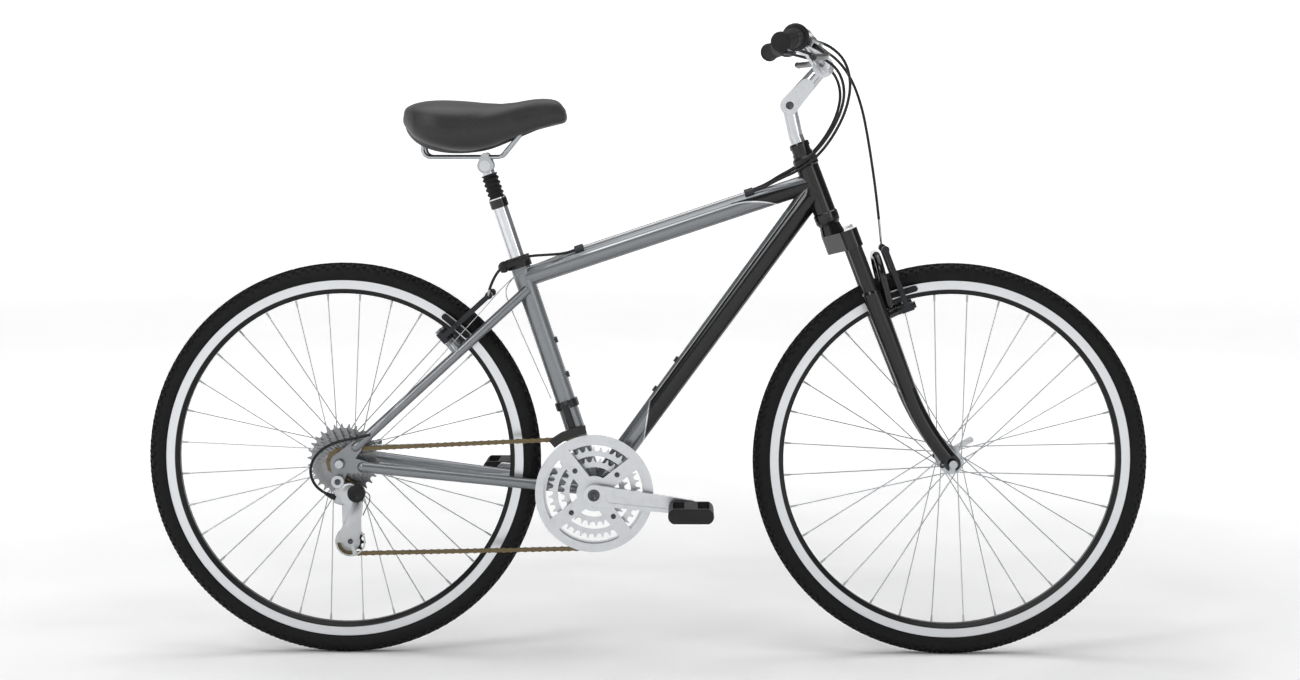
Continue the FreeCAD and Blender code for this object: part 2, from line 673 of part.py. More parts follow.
class BrakeSite:
    """Left side place of a linear-pull brake: pivot, arm direction, pivot axis and pad centre."""

    def __init__(self, axle, pad, up, out, root):
        self.pad = pad
        self.up = up
        self.out = out
        self.pivot = pad - up * BRAKE_PAD_RISE + Y_AXIS * BRAKE_PIVOT_Y
        self.root = root
        self.rim_in = (axle - pad).normalize()

    def post(self):
        """Fixed post with its base on the leg or stay and a bolt that keeps the arm on."""
        base = self.pivot - self.out * BRAKE_POST_TIP
        end = self.pivot + self.out * BRAKE_POST_TIP
        head = rod(end, end + self.out * BRAKE_BOLT_HEIGHT, BRAKE_BOLT_RADIUS)
        foot = rod(base - self.out * BRAKE_HUB_RADIUS, base, BRAKE_BASE_RADIUS)
        arm = rod(self.root, base - self.out * BRAKE_HUB_RADIUS, BRAKE_BASE_RADIUS)
        knee = Part.makeSphere(BRAKE_BASE_RADIUS, base - self.out * BRAKE_HUB_RADIUS)
        return fuse([rod(base, end, BRAKE_POST_RADIUS), head, foot, arm, knee])

    def arm(self):
        """Arm with its pivot hub, pad bolt and cable seat."""
        half = self.out * (BRAKE_ARM_THICKNESS / 2)
        top = self.pivot + self.up * BRAKE_ARM_LENGTH
        plate = link(self.pivot - half, top - half, BRAKE_HUB_RADIUS, BRAKE_ARM_WIDTH / 3, half * 2)
        hub = centred_rod(self.pivot, self.out, BRAKE_HUB_LENGTH, BRAKE_HUB_RADIUS)
        bolt = rod(self.pad_back(),
                   self.pad_back() + Y_AXIS * (BRAKE_PIVOT_Y - self.pad_back().y + BRAKE_ARM_WIDTH),
                   BRAKE_POST_RADIUS)
        seat = centred_rod(top, Y_AXIS, BRAKE_ARM_WIDTH, BRAKE_ARM_WIDTH / 2)
        bore = centred_rod(self.pivot, self.out, BRAKE_HUB_LENGTH * 2, BRAKE_POST_RADIUS + RUNNING_FIT)
        return fuse([plate, hub, bolt, seat]).cut(bore)

    def pad_back(self):
        return self.pad + Y_AXIS * (RIM_WIDTH / 2 + BRAKE_PAD_GAP + BRAKE_PAD_THICKNESS)

    def shoe(self):
        """Friction pad that follows the rim's braking track."""
        face = self.pad + Y_AXIS * (RIM_WIDTH / 2 + BRAKE_PAD_GAP)
        along = self.rim_in.cross(Y_AXIS)
        half = along * ((BRAKE_PAD_LENGTH - BRAKE_PAD_HEIGHT) / 2)
        return link(face - half, face + half, BRAKE_PAD_HEIGHT / 2, BRAKE_PAD_HEIGHT / 2,
                    Y_AXIS * BRAKE_PAD_THICKNESS)

    def assembly(self):
        return Part.makeCompound([self.arm(), self.shoe()])


def front_brake_site():
    height = math.sqrt(TRACK_RADIUS ** 2 - (BRAKE_PIVOT_FORWARD - FORK_RAKE) ** 2)
    pad = on_steer(height, BRAKE_PIVOT_FORWARD)
    root = on_steer(height - BRAKE_PAD_RISE, STANCHION_OFFSET, STANCHION_Y)
    return BrakeSite(FRONT_AXLE, pad, STEER_UP, STEER_FORWARD, root)


def rear_brake_site():
    end, bow, top = seat_stay_points()
    up = vec(top.x - end.x, 0, top.z - end.z).normalize()
    out = up.cross(Y_AXIS)
    pad = REAR_AXLE + heading(REAR_BRAKE_ANGLE) * TRACK_RADIUS
    reach = (pad - up * BRAKE_PAD_RISE - end).dot(up)
    span = vec(top.x - end.x, 0, top.z - end.z).Length * SEATSTAY_BOW_SHARE
    root = end + (bow - end) * min(reach / span, 1)
    return BrakeSite(REAR_AXLE, pad, up, out, root)


def rear_brake_boss():
    return rear_brake_site().post()


def headset_cups():
    low = on_steer(HEAD_BOTTOM)
    profile = [(STEERER_RADIUS + BODY_GAP, 0), (CUP_RADIUS, 0), (CUP_RADIUS, LOWER_CUP_HEIGHT / 2),
               (STACK_RADIUS, LOWER_CUP_HEIGHT - BODY_GAP), (STEERER_RADIUS + BODY_GAP,
                                                             LOWER_CUP_HEIGHT - BODY_GAP)]
    lower = turned(profile, low, STEER_UP * -1, STEER_FORWARD)
    upper_height = STACK_HEIGHT / 4
    profile = [(STEERER_RADIUS + BODY_GAP, 0), (CUP_RADIUS, 0), (CUP_RADIUS, upper_height / 2),
               (STACK_RADIUS, upper_height), (STEERER_RADIUS + BODY_GAP, upper_height)]
    upper = turned(profile, on_steer(HEAD_TOP), STEER_UP, STEER_FORWARD)
    return Part.makeCompound([lower, upper])


def headset_stack():
    """Race, spacers and locknut on the steerer above the upper cup."""
    start = STACK_HEIGHT / 4 + BODY_GAP
    step = (STACK_HEIGHT - start) / 4
    profile = [(STEERER_RADIUS, start), (STACK_RADIUS, start), (STACK_RADIUS, start + step),
               (STACK_NECK_RADIUS, start + step), (STACK_NECK_RADIUS, start + step * 2.5),
               (STACK_RADIUS, start + step * 2.5), (STACK_RADIUS, STACK_HEIGHT - step / 2),
               (STACK_NECK_RADIUS, STACK_HEIGHT), (STEERER_RADIUS, STACK_HEIGHT)]
    return turned(profile, on_steer(HEAD_TOP), STEER_UP, STEER_FORWARD)


def fork_crown():
    """Forged crown with two sockets, and the steerer tube above it."""
    bottom = AXLE_TO_CROWN - CROWN_DROP
    socket_top = bottom + CROWN_SOCKET_HEIGHT
    depth = STEER_UP * CROWN_SOCKET_HEIGHT
    web = link(on_steer(bottom), on_steer(bottom, STANCHION_OFFSET, STANCHION_Y),
               CROWN_BOSS_RADIUS, CROWN_SOCKET_RADIUS, depth)
    neck = cone(on_steer(socket_top), on_steer(AXLE_TO_CROWN), CROWN_BOSS_RADIUS, STACK_RADIUS)
    steerer = rod(on_steer(bottom), on_steer(STACK_TOP), STEERER_RADIUS)
    bore = rod(on_steer(bottom - OVERRUN), on_steer(STACK_TOP + OVERRUN), QUILL_RADIUS + RUNNING_FIT)
    socket = rod(on_steer(bottom - OVERRUN, STANCHION_OFFSET, STANCHION_Y),
                 on_steer(socket_top - STANCHION_WALL, STANCHION_OFFSET, STANCHION_Y), STANCHION_RADIUS)
    whole = fuse([web, mirrored(web), neck, steerer])
    return whole.cut([bore, socket, mirrored(socket)])


def fork_stanchion():
    top = AXLE_TO_CROWN - CROWN_DROP + CROWN_SOCKET_HEIGHT - STANCHION_WALL
    low = LOWERS_TOP - STANCHION_INSERT
    start = on_steer(low, STANCHION_OFFSET, STANCHION_Y)
    end = on_steer(top, STANCHION_OFFSET, STANCHION_Y)
    return rod(start, end, STANCHION_RADIUS).cut(rod(start, end, STANCHION_RADIUS - STANCHION_WALL))


def fork_stanchions():
    return pair(fork_stanchion())


def leg_tip_path():
    """Arc from the straight part of the leg forward to the axle."""
    rise = FORK_RAKE - STANCHION_OFFSET
    bend = (LEG_BEND_HEIGHT ** 2 + rise ** 2) / (2 * rise)
    half = math.asin(LEG_BEND_HEIGHT / bend) / 2
    middle = on_steer(LEG_BEND_HEIGHT - bend * math.sin(half),
                      STANCHION_OFFSET + bend * (1 - math.cos(half)), STANCHION_Y)
    start = on_steer(LEG_BEND_HEIGHT, STANCHION_OFFSET, STANCHION_Y)
    return Part.Wire(Part.Arc(start, middle, on_steer(0, FORK_RAKE, STANCHION_Y)).toShape())


def fork_leg():
    start = on_steer(LEG_BEND_HEIGHT, STANCHION_OFFSET, STANCHION_Y)
    top = on_steer(LOWERS_TOP, STANCHION_OFFSET, STANCHION_Y)
    shank = cone(start, top, LEG_TIP_RADIUS, LOWERS_RADIUS)
    section = Part.Wire(Part.makeCircle(LEG_TIP_RADIUS, start, STEER_UP))
    tip = leg_tip_path().makePipeShell([section], True, False)
    end = Part.makeSphere(LEG_TIP_RADIUS, on_steer(0, FORK_RAKE, STANCHION_Y))
    return fuse([shank, tip, end])


def fork_arch():
    """Brace that joins the legs in front of the crown, with rounded feet on the legs."""
    forward = STANCHION_OFFSET + LOWERS_RADIUS + ARCH_RADIUS * ARCH_SEAT_SHARE
    foot = on_steer(ARCH_FOOT_HEIGHT, forward, STANCHION_Y)
    shoulder = on_steer(ARCH_TOP, ARCH_FORWARD, STANCHION_Y)
    half = [foot, shoulder]
    points = half + [vec(p.x, -p.y, p.z) for p in reversed(half)]
    brace = swept(points, ARCH_RADIUS, STANCHION_Y * ARCH_ROUND_SHARE)
    return fuse([brace, Part.makeSphere(ARCH_RADIUS, points[0]), Part.makeSphere(ARCH_RADIUS, points[-1])])


def fender_eye():
    spot = on_steer(FENDER_EYE_RADIUS, FORK_RAKE - LEG_TIP_RADIUS - FENDER_EYE_RADIUS / 2, STANCHION_Y)
    return centred_rod(spot, Y_AXIS, FENDER_EYE_RADIUS * 2, FENDER_EYE_RADIUS)


def fender_bore():
    spot = on_steer(FENDER_EYE_RADIUS, FORK_RAKE - LEG_TIP_RADIUS - FENDER_EYE_RADIUS / 2, STANCHION_Y)
    return centred_rod(spot, Y_AXIS, FENDER_EYE_RADIUS * 4, FENDER_BORE_RADIUS)


def front_axle_spot():
    """Space at the wheel axle inside the leg tips, and the axle hole with its mouth."""
    half_depth = Y_AXIS * FRONT_DROPOUT_GAP
    inner = centred_rod(FRONT_AXLE, Y_AXIS, FRONT_DROPOUT_GAP, FRONT_DROPOUT_RADIUS)
    hole = centred_rod(FRONT_AXLE, Y_AXIS, FRONT_DROPOUT_GAP * 2, AXLE_RADIUS)
    down = vec(0, 0, -TYRE_RADIUS / 4)
    side = vec(AXLE_RADIUS, 0, 0)
    mouth = slab([FRONT_AXLE - side - half_depth, FRONT_AXLE + side - half_depth,
                  FRONT_AXLE + side + down - half_depth, FRONT_AXLE - side + down - half_depth],
                  half_depth * 2)
    return inner.fuse([hole, mouth])


def leg_face_space(side_y):
    """Flat outer face of the leg tip where the skewer nut seats."""
    near = FRONT_AXLE + Y_AXIS * side_y
    return rod(near, near + Y_AXIS * STANCHION_Y, FRONT_DROPOUT_RADIUS)


FRONT_DROPOUT_FACE = FRONT_HALF + DROPOUT_THICKNESS * 1.5


def fork_lowers():
    leg = fork_leg()
    eye = fender_eye()
    post = front_brake_site().post()
    bore_low = on_steer(LOWERS_TOP - STANCHION_INSERT - FORK_TRAVEL - OVERRUN, STANCHION_OFFSET, STANCHION_Y)
    bore_top = on_steer(LOWERS_TOP + OVERRUN, STANCHION_OFFSET, STANCHION_Y)
    bore = rod(bore_low, bore_top, STANCHION_RADIUS + RUNNING_FIT)
    face = leg_face_space(FRONT_DROPOUT_FACE)
    whole = fuse([leg, mirrored(leg), eye, mirrored(eye), fork_arch(), post, mirrored(post)])
    cuts = [bore, mirrored(bore), front_axle_spot(), face, mirrored(face), fender_bore(),
            mirrored(fender_bore())]
    return largest(whole.cut(cuts))


def fork_seals():
    low = on_steer(LOWERS_TOP, STANCHION_OFFSET, STANCHION_Y)
    profile = [(STANCHION_RADIUS + RUNNING_FIT, 0), (LOWERS_RADIUS, 0), (LOWERS_RADIUS, SEAL_HEIGHT / 2),
               (STANCHION_RADIUS + SEAL_HEIGHT / 4, SEAL_HEIGHT), (STANCHION_RADIUS + RUNNING_FIT,
                                                                   SEAL_HEIGHT)]
    return pair(turned(profile, low, STEER_UP, STEER_FORWARD))


def wheel_turned(profile, centre):
    """Ring about a wheel axle from pairs of radius and side distance."""
    return turned(profile, centre, Y_AXIS, X_AXIS)


def tyre(centre):
    """Open-bellied tyre that seats on the rim's shoulders."""
    outer = TYRE_WIDTH / 2
    crown = TYRE_RADIUS - outer
    seat = RIM_WIDTH / 2 - RIM_WALL
    lip = RIM_OUTER_RADIUS + BODY_GAP
    inner = outer - TYRE_WALL
    drop = crown - lip
    out_y = math.sqrt(outer ** 2 - drop ** 2)
    in_y = math.sqrt(inner ** 2 - drop ** 2)

    def spot(radius, y):
        return centre + X_AXIS * radius + Y_AXIS * y

    edges = [Part.Arc(spot(lip, -out_y), spot(TYRE_RADIUS, 0), spot(lip, out_y)).toShape(),
             Part.makePolygon([spot(lip, out_y), spot(lip, seat), spot(RIM_BED_RADIUS, seat),
                               spot(RIM_BED_RADIUS, seat - TYRE_WALL), spot(lip, in_y - TYRE_WALL)]),
             Part.Arc(spot(lip, in_y - TYRE_WALL), spot(TYRE_RADIUS - TYRE_WALL, 0),
                      spot(lip, TYRE_WALL - in_y)).toShape(),
             Part.makePolygon([spot(lip, TYRE_WALL - in_y), spot(RIM_BED_RADIUS, TYRE_WALL - seat),
                               spot(RIM_BED_RADIUS, -seat), spot(lip, -seat), spot(lip, -out_y)])]
    wire = Part.Wire([edge for piece in edges for edge in piece.Edges])
    return Part.Face(wire).revolve(centre, Y_AXIS, 360)


def rim(centre):
    """Box rim with braking tracks, tyre well and a rounded nose towards the hub."""
    half = RIM_WIDTH / 2
    seat = half - RIM_WALL
    nose = RIM_NOSE_WIDTH / 2
    right = [(RIM_OUTER_RADIUS, seat), (RIM_OUTER_RADIUS, half), (RIM_TRACK_BOTTOM, half),
             (RIM_TRACK_BOTTOM - RIM_WALL, half - RIM_WALL / 2), (RIM_INNER_RADIUS, nose)]
    left = [(radius, -y) for radius, y in reversed(right)]
    well = [(RIM_BED_RADIUS, -seat), (RIM_BED_RADIUS, seat)]
    return wheel_turned(right + left + well, centre)


def spoke_ends(centre, index, flange_y):
    """Hub end and rim end of one spoke, laced over its crossings."""
    step = 2 * math.pi / SPOKE_COUNT
    side = 1 if index % 2 == 0 else -1
    pull = 1 if index % 4 < 2 else -1
    rim_turn = (index + 0.5) * step
    hub_step = step * 2
    hub_turn = rim_turn + pull * SPOKE_CROSSES * hub_step
    hub_radius = FLANGE_RADIUS - FLANGE_HOLE_INSET
    y = flange_y[0] if side > 0 else -flange_y[1]
    inset = pull * (FLANGE_THICKNESS / 2 + SPOKE_RADIUS)
    hub = centre + vec(math.cos(hub_turn) * hub_radius, y + inset, math.sin(hub_turn) * hub_radius)
    end = centre + vec(math.cos(rim_turn) * RIM_INNER_RADIUS, side * RIM_NOSE_WIDTH / 8,
                       math.sin(rim_turn) * RIM_INNER_RADIUS)
    return hub, end


def spokes(centre, flange_y):
    """Every spoke with its nipple at the rim, as separate pieces."""
    pieces = []
    for index in range(SPOKE_COUNT):
        hub, end = spoke_ends(centre, index, flange_y)
        along = (hub - end).normalize()
        seat = end + along * (RIM_WALL / 2)
        wire = rod(hub, seat, SPOKE_RADIUS)
        nipple = cone(seat, seat + along * NIPPLE_LENGTH, NIPPLE_RADIUS, SPOKE_RADIUS * NIPPLE_NECK_SHARE)
        pieces.append(fuse([wire, nipple]))
    return Part.makeCompound(pieces)


def hub_shell(centre, left_y, right_y, left_end, right_end, bore):
    """Waisted hub with two spoke flanges, bored for the bearings' axle."""
    half = FLANGE_THICKNESS / 2
    neck = HUB_WAIST_RADIUS * HUB_NECK_SHARE
    profile = [(bore, -right_end), (neck, -right_end), (neck, -right_y - half), (FLANGE_RADIUS,
                                                                                 -right_y - half),
               (FLANGE_RADIUS, -right_y + half), (neck, -right_y + half), (HUB_WAIST_RADIUS, -right_y / 2),
               (HUB_WAIST_RADIUS, left_y / 2), (neck, left_y - half), (FLANGE_RADIUS, left_y - half),
               (FLANGE_RADIUS, left_y + half), (neck, left_y + half), (neck, left_end), (bore, left_end)]
    return wheel_turned(profile, centre)


def front_hub():
    end = FRONT_HALF - HUB_END_GAP
    shell = hub_shell(FRONT_AXLE, FRONT_FLANGE_Y, FRONT_FLANGE_Y, end, end, AXLE_RADIUS + RUNNING_FIT)
    return shell.cut(spokes(FRONT_AXLE, (FRONT_FLANGE_Y, FRONT_FLANGE_Y)).Solids)


def rear_hub():
    end = REAR_HALF - HUB_END_GAP
    right_end = REAR_RIGHT_FLANGE_Y + FLANGE_THICKNESS / 2
    bore = AXLE_RADIUS + RUNNING_FIT
    shell = hub_shell(REAR_AXLE, REAR_LEFT_FLANGE_Y, REAR_RIGHT_FLANGE_Y, end, right_end, bore)
    return shell.cut(spokes(REAR_AXLE, (REAR_LEFT_FLANGE_Y, REAR_RIGHT_FLANGE_Y)).Solids)


def axle_set(centre, half, face, right_lock):
    """Fixed axle with locknuts against the dropouts and the skewer's nut on the drive side."""
    body = centred_rod(centre, Y_AXIS, half * 2, AXLE_RADIUS)
    lock = HUB_END_GAP - BODY_GAP
    right = rod(centre - Y_AXIS * half, centre - Y_AXIS * (half - right_lock), LOCKNUT_RADIUS)
    left = rod(centre + Y_AXIS * half, centre + Y_AXIS * (half - lock), LOCKNUT_RADIUS)
    skewer = centred_rod(centre, Y_AXIS, (face + BODY_GAP) * 2, AXLE_RADIUS - BODY_GAP)
    start = centre - Y_AXIS * face
    tip = start - Y_AXIS * SKEWER_NUT_LENGTH
    nut = cone(start, tip, SKEWER_NUT_RADIUS, SKEWER_NUT_RADIUS * NUT_TIP_SHARE)
    cam_start = centre + Y_AXIS * face
    cam = rod(cam_start, cam_start + Y_AXIS * QR_CAM_LENGTH, QR_CAM_RADIUS)
    return fuse([body, right, left, skewer, nut, cam])


def front_axle():
    return axle_set(FRONT_AXLE, FRONT_HALF, FRONT_DROPOUT_FACE, HUB_END_GAP - BODY_GAP)


def rear_axle():
    right_lock = REAR_HALF - CHAIN_PLANE_Y - TOOTH_WIDTH - BODY_GAP
    return axle_set(REAR_AXLE, REAR_HALF, REAR_HALF + DROPOUT_THICKNESS, right_lock)


def cam_lever(middle, direction, length):
    """Closed lever: a cam barrel across the skewer and a blade along the given direction."""
    barrel = centred_rod(middle, direction.cross(Y_AXIS), QR_BARREL_LENGTH, QR_BARREL_RADIUS)
    depth = Y_AXIS * QR_LEVER_THICKNESS
    start = middle - depth / 2
    blade = link(start, start + direction * length, QR_BARREL_RADIUS * LEVER_NECK_SHARE, QR_LEVER_WIDTH / 2,
                 depth)
    return fuse([barrel, blade])


def skewer_lever(centre, face, direction):
    middle = centre + Y_AXIS * (face + QR_CAM_LENGTH + BODY_GAP + QR_BARREL_RADIUS)
    return cam_lever(middle, direction, QR_LEVER_LENGTH)


def front_skewer_lever():
    return skewer_lever(FRONT_AXLE, FRONT_DROPOUT_FACE, heading(FRONT_LEVER_ANGLE))


def rear_skewer_lever():
    return skewer_lever(REAR_AXLE, REAR_HALF + DROPOUT_THICKNESS, heading(REAR_LEVER_ANGLE))


def pitch_radius(teeth):
    return CHAIN_PITCH / (2 * math.sin(math.pi / teeth))


def polar(centre, radius, turn):
    """Point of the side plane round a centre, by an angle in radians above forward."""
    return centre + vec(math.cos(turn) * radius, 0, math.sin(turn) * radius)


def toothed_face(centre, teeth, phase):
    """Sprocket outline: round roller seats and truncated teeth, with a seat at the phase angle."""
    pitch = pitch_radius(teeth)
    seat = ROLLER_RADIUS + TOOTH_SEAT_GAP
    step = 2 * math.pi / teeth
    tip_radius = pitch + TOOTH_HEIGHT
    tip_half = TOOTH_TIP_WIDTH / 2 / tip_radius
    edges = []
    for tooth in range(teeth):
        turn = phase + tooth * step
        hollow = polar(centre, pitch, turn)
        ends = [polar(hollow, seat, turn + math.pi + side * math.radians(SEAT_HALF_ANGLE)) for side in (1,
                                                                                                        -1)]
        bottom = polar(centre, pitch - seat, turn)
        tip_start = polar(centre, tip_radius, turn + step / 2 - tip_half)
        tip_end = polar(centre, tip_radius, turn + step / 2 + tip_half)
        after = turn + step
        next_start = polar(polar(centre, pitch, after), seat, after + math.pi + math.radians(SEAT_HALF_ANGLE))
        edges.append(Part.Arc(ends[0], bottom, ends[1]).toShape())
        edges.append(Part.LineSegment(ends[1], tip_start).toShape())
        edges.append(Part.LineSegment(tip_start, tip_end).toShape())
        edges.append(Part.LineSegment(tip_end, next_start).toShape())
    return Part.Face(Part.Wire(edges))


def sprocket(centre, teeth, phase, middle_y):
    """Toothed plate centred on its chain plane, on the drive side."""
    base = centre - Y_AXIS * (middle_y + TOOTH_WIDTH / 2)
    return toothed_face(base, teeth, phase).extrude(Y_AXIS * TOOTH_WIDTH)


GUIDE_CENTRE = REAR_AXLE + vec(GUIDE_PULLEY_FORWARD, 0, -GUIDE_PULLEY_DROP)


class Wrap:
    """One wheel that the chain goes round: clockwise seen from the drive side, or the other way."""

    def __init__(self, centre, teeth, clockwise):
        self.centre = centre
        self.teeth = teeth
        self.sense = 1 if clockwise else -1
        self.radius = pitch_radius(teeth)


def tangent(first, second):
    """Points where the chain leaves one wheel and meets the next."""
    gap = second.centre - first.centre
    lean = math.asin((first.sense * first.radius - second.sense * second.radius) / gap.Length)
    turn = math.atan2(gap.z, gap.x) - lean
    left = vec(-math.sin(turn), 0, math.cos(turn))
    start = first.centre + left * (first.sense * first.radius)
    return start, second.centre + left * (second.sense * second.radius)


def chain_wheels(cage_angle):
    tension = GUIDE_CENTRE + heading(cage_angle) * PULLEY_DISTANCE
    return [Wrap(REAR_AXLE, SPROCKET_TEETH[0], True), Wrap(CRANK_CENTRE, RING_TEETH[0], True),
            Wrap(tension, PULLEY_TEETH, True), Wrap(GUIDE_CENTRE, PULLEY_TEETH, False)]


def chain_spans(cage_angle):
    """Spans of the chain loop in pitches: straight runs and wraps with their start angle and sweep."""
    wheels = chain_wheels(cage_angle)
    runs = [tangent(wheel, wheels[(i + 1) % len(wheels)]) for i, wheel in enumerate(wheels)]
    spans = []
    for i, wheel in enumerate(wheels):
        arrive = runs[i - 1][1] - wheel.centre
        leave = runs[i][0] - wheel.centre
        start = math.atan2(arrive.z, arrive.x)
        sweep = (start - math.atan2(leave.z, leave.x)) * wheel.sense % (2 * math.pi)
        spans.append(("wrap", sweep * wheel.teeth / (2 * math.pi), wheel, start))
        spans.append(("run", (runs[i][1] - runs[i][0]).Length / CHAIN_PITCH, runs[i][0], runs[i][1]))
    return spans


def chain_pitches(cage_angle):
    return sum(span[1] for span in chain_spans(cage_angle))


def solve_cage_angle():
    """Angle of the cage that takes up the slack of a whole number of links."""
    low, high = CAGE_ANGLE_LIMITS
    falling = chain_pitches(low) > chain_pitches(high)
    for _ in range(CAGE_SOLVE_STEPS):
        middle = (low + high) / 2
        if (chain_pitches(middle) > CHAIN_LINKS) == falling:
            low = middle
        else:
            high = middle
    return (low + high) / 2


CAGE_ANGLE = solve_cage_angle()
TENSION_CENTRE = GUIDE_CENTRE + heading(CAGE_ANGLE) * PULLEY_DISTANCE


def chain_point(spans, place):
    """Roller centre at a distance along the loop, counted in pitches."""
    for kind, length, first, second in spans:
        if place <= length:
            if kind == "run":
                return first + (second - first) * (place / length)
            return polar(first.centre, first.radius, second - first.sense * place * 2 * math.pi / first.teeth)
        place -= length
    return chain_point(spans, place)


def seat_phase(wheel_index):
    """Angle of a roller seat on one of the chain's wheels, so that the teeth mesh with the rollers."""
    spans = chain_spans(CAGE_ANGLE)
    before = sum(span[1] for span in spans[:wheel_index * 2])
    wheel = spans[wheel_index * 2][2]
    start = spans[wheel_index * 2][3]
    offset = math.ceil(before) - before
    return start - wheel.sense * offset * 2 * math.pi / wheel.teeth


def plate_outline(start, end, depth):
    """Waisted side plate of a chain link."""
    along = (end - start).normalize()
    across = along.cross(Y_AXIS)
    lean = math.radians(PLATE_NECK_ANGLE)
    reach = along * (CHAIN_PLATE_RADIUS * math.cos(lean))
    rise = across * (CHAIN_PLATE_RADIUS * math.sin(lean))
    middle = (start + end) * 0.5
    waist = across * CHAIN_WAIST_RADIUS
    edges = [Part.Arc(start + reach + rise, middle + waist, end - reach + rise).toShape(),
             Part.Arc(end - reach + rise, end + along * CHAIN_PLATE_RADIUS, end - reach - rise).toShape(),
             Part.Arc(end - reach - rise, middle - waist, start + reach - rise).toShape(),
             Part.Arc(start + reach - rise, start - along * CHAIN_PLATE_RADIUS,
                      start + reach + rise).toShape()]
    return Part.Face(Part.Wire(edges)).extrude(depth)


def chain_link_pattern(outer):
    """One link along X at the origin: plates with pins, or plates with rollers."""
    inner_face = CHAIN_INNER_GAP / 2
    if outer:
        inner_face += CHAIN_PLATE_THICKNESS + PLATE_GAP
    outer_face = inner_face + CHAIN_PLATE_THICKNESS
    ends = [ORIGIN, X_AXIS * CHAIN_PITCH]
    plates = [plate_outline(ends[0] + Y_AXIS * low, ends[1] + Y_AXIS * low, Y_AXIS * CHAIN_PLATE_THICKNESS)
              for low in (inner_face, -outer_face)]
    radius = PIN_RADIUS if outer else ROLLER_RADIUS
    cores = [centred_rod(end, Y_AXIS, outer_face * 2 if outer else inner_face * 2, radius) for end in ends]
    whole = fuse(plates + cores)
    if outer:
        return whole
    return whole.cut([centred_rod(end, Y_AXIS, outer_face * 4, PIN_RADIUS + RUNNING_FIT) for end in ends])


def chain():
    """Roller chain of separate inner and outer links along its loop."""
    spans = chain_spans(CAGE_ANGLE)
    patterns = [chain_link_pattern(False), chain_link_pattern(True)]
    links = []
    for index in range(CHAIN_LINKS):
        start = chain_point(spans, index)
        end = chain_point(spans, (index + 1) % CHAIN_LINKS)
        along = end - start
        turn = FreeCAD.Rotation(X_AXIS, along)
        piece = patterns[index % 2].copy()
        piece.Placement = FreeCAD.Placement(start - Y_AXIS * CHAIN_PLANE_Y, turn)
        links.append(piece)
    return Part.makeCompound(links)


def chain_ring(index):
    """Chainring with four inward tabs on its bolt circle."""
    teeth = RING_TEETH[index]
    middle_y = CHAIN_PLANE_Y - index * RING_SPACING
    phase = seat_phase(1)
    plate = sprocket(CRANK_CENTRE, teeth, phase, middle_y)
    bolt_radius = SMALL_RING_BOLT_RADIUS if index == len(RING_TEETH) - 1 else RING_BOLT_RADIUS
    inner = pitch_radius(teeth) - ROLLER_RADIUS - RING_RIM_DEPTH
    base = CRANK_CENTRE - Y_AXIS * middle_y
    opening = centred_rod(base, Y_AXIS, TOOTH_WIDTH * 3, inner)
    ring = plate.cut(opening)
    depth = Y_AXIS * TOOTH_WIDTH
    tabs = []
    for turn in spider_turns():
        low = base - Y_AXIS * (TOOTH_WIDTH / 2)
        tabs.append(link(polar(low, bolt_radius, turn), polar(low, inner, turn),
                         RING_TAB_RADIUS, RING_TAB_RADIUS, depth))
    return fuse([ring] + tabs)


def spider_turns():
    return [math.radians(SPIDER_ANGLE - CRANK_DROP_ANGLE + i * 360 / RING_TABS) for i in range(RING_TABS)]


def chainrings():
    return Part.makeCompound([chain_ring(index) for index in range(len(RING_TEETH))])


def cassette():
    """Sprockets on the freehub body, smallest outermost."""
    plates = []
    for index, teeth in enumerate(SPROCKET_TEETH):
        plates.append(sprocket(REAR_AXLE, teeth, seat_phase(0), CHAIN_PLANE_Y - index * SPROCKET_SPACING))
    inner_y = CHAIN_PLANE_Y - SPROCKET_SPACING * (len(SPROCKET_TEETH) - 1) - TOOTH_WIDTH
    outer_y = CHAIN_PLANE_Y + TOOTH_WIDTH
    body = rod(REAR_AXLE - Y_AXIS * inner_y, REAR_AXLE - Y_AXIS * outer_y, FREEHUB_RADIUS)
    bore = centred_rod(REAR_AXLE, Y_AXIS, REAR_DROPOUT_GAP, AXLE_RADIUS + RUNNING_FIT)
    return fuse(plates + [body]).cut(bore)


GUARD_Y = CHAIN_PLANE_Y + GUARD_CLEARANCE


def chain_guard():
    """Ring outside the large chainring, carried by four broad arms with windows between them."""
    base = CRANK_CENTRE - Y_AXIS * (GUARD_Y + GUARD_THICKNESS)
    depth = Y_AXIS * GUARD_THICKNESS
    rim_ring = rod(base, base + depth, GUARD_RADIUS).cut(rod(base, base + depth, GUARD_INNER_RADIUS))
    hub = rod(base, base + depth, GUARD_HUB_RADIUS)
    arms = [link(base, polar(base, GUARD_INNER_RADIUS, turn), GUARD_ARM_WIDTH / 2, GUARD_ARM_WIDTH / 2, depth)
            for turn in spider_turns()]
    bore = centred_rod(base, Y_AXIS, OVERRUN * 4, CRANK_BOSS_RADIUS)
    return fuse([rim_ring, hub] + arms).cut(bore)


RIGHT_PEDAL_CENTRE = CRANK_CENTRE + heading(-CRANK_DROP_ANGLE) * CRANK_LENGTH
LEFT_PEDAL_CENTRE = CRANK_CENTRE - heading(-CRANK_DROP_ANGLE) * CRANK_LENGTH
SPIDER_OUTER_Y = CHAIN_PLANE_Y - TOOTH_WIDTH / 2
SPIDER_INNER_Y = CHAIN_PLANE_Y - RING_SPACING + TOOTH_WIDTH / 2
SPINDLE_HALF = CRANK_FACE_Y - CRANK_THICKNESS / 2


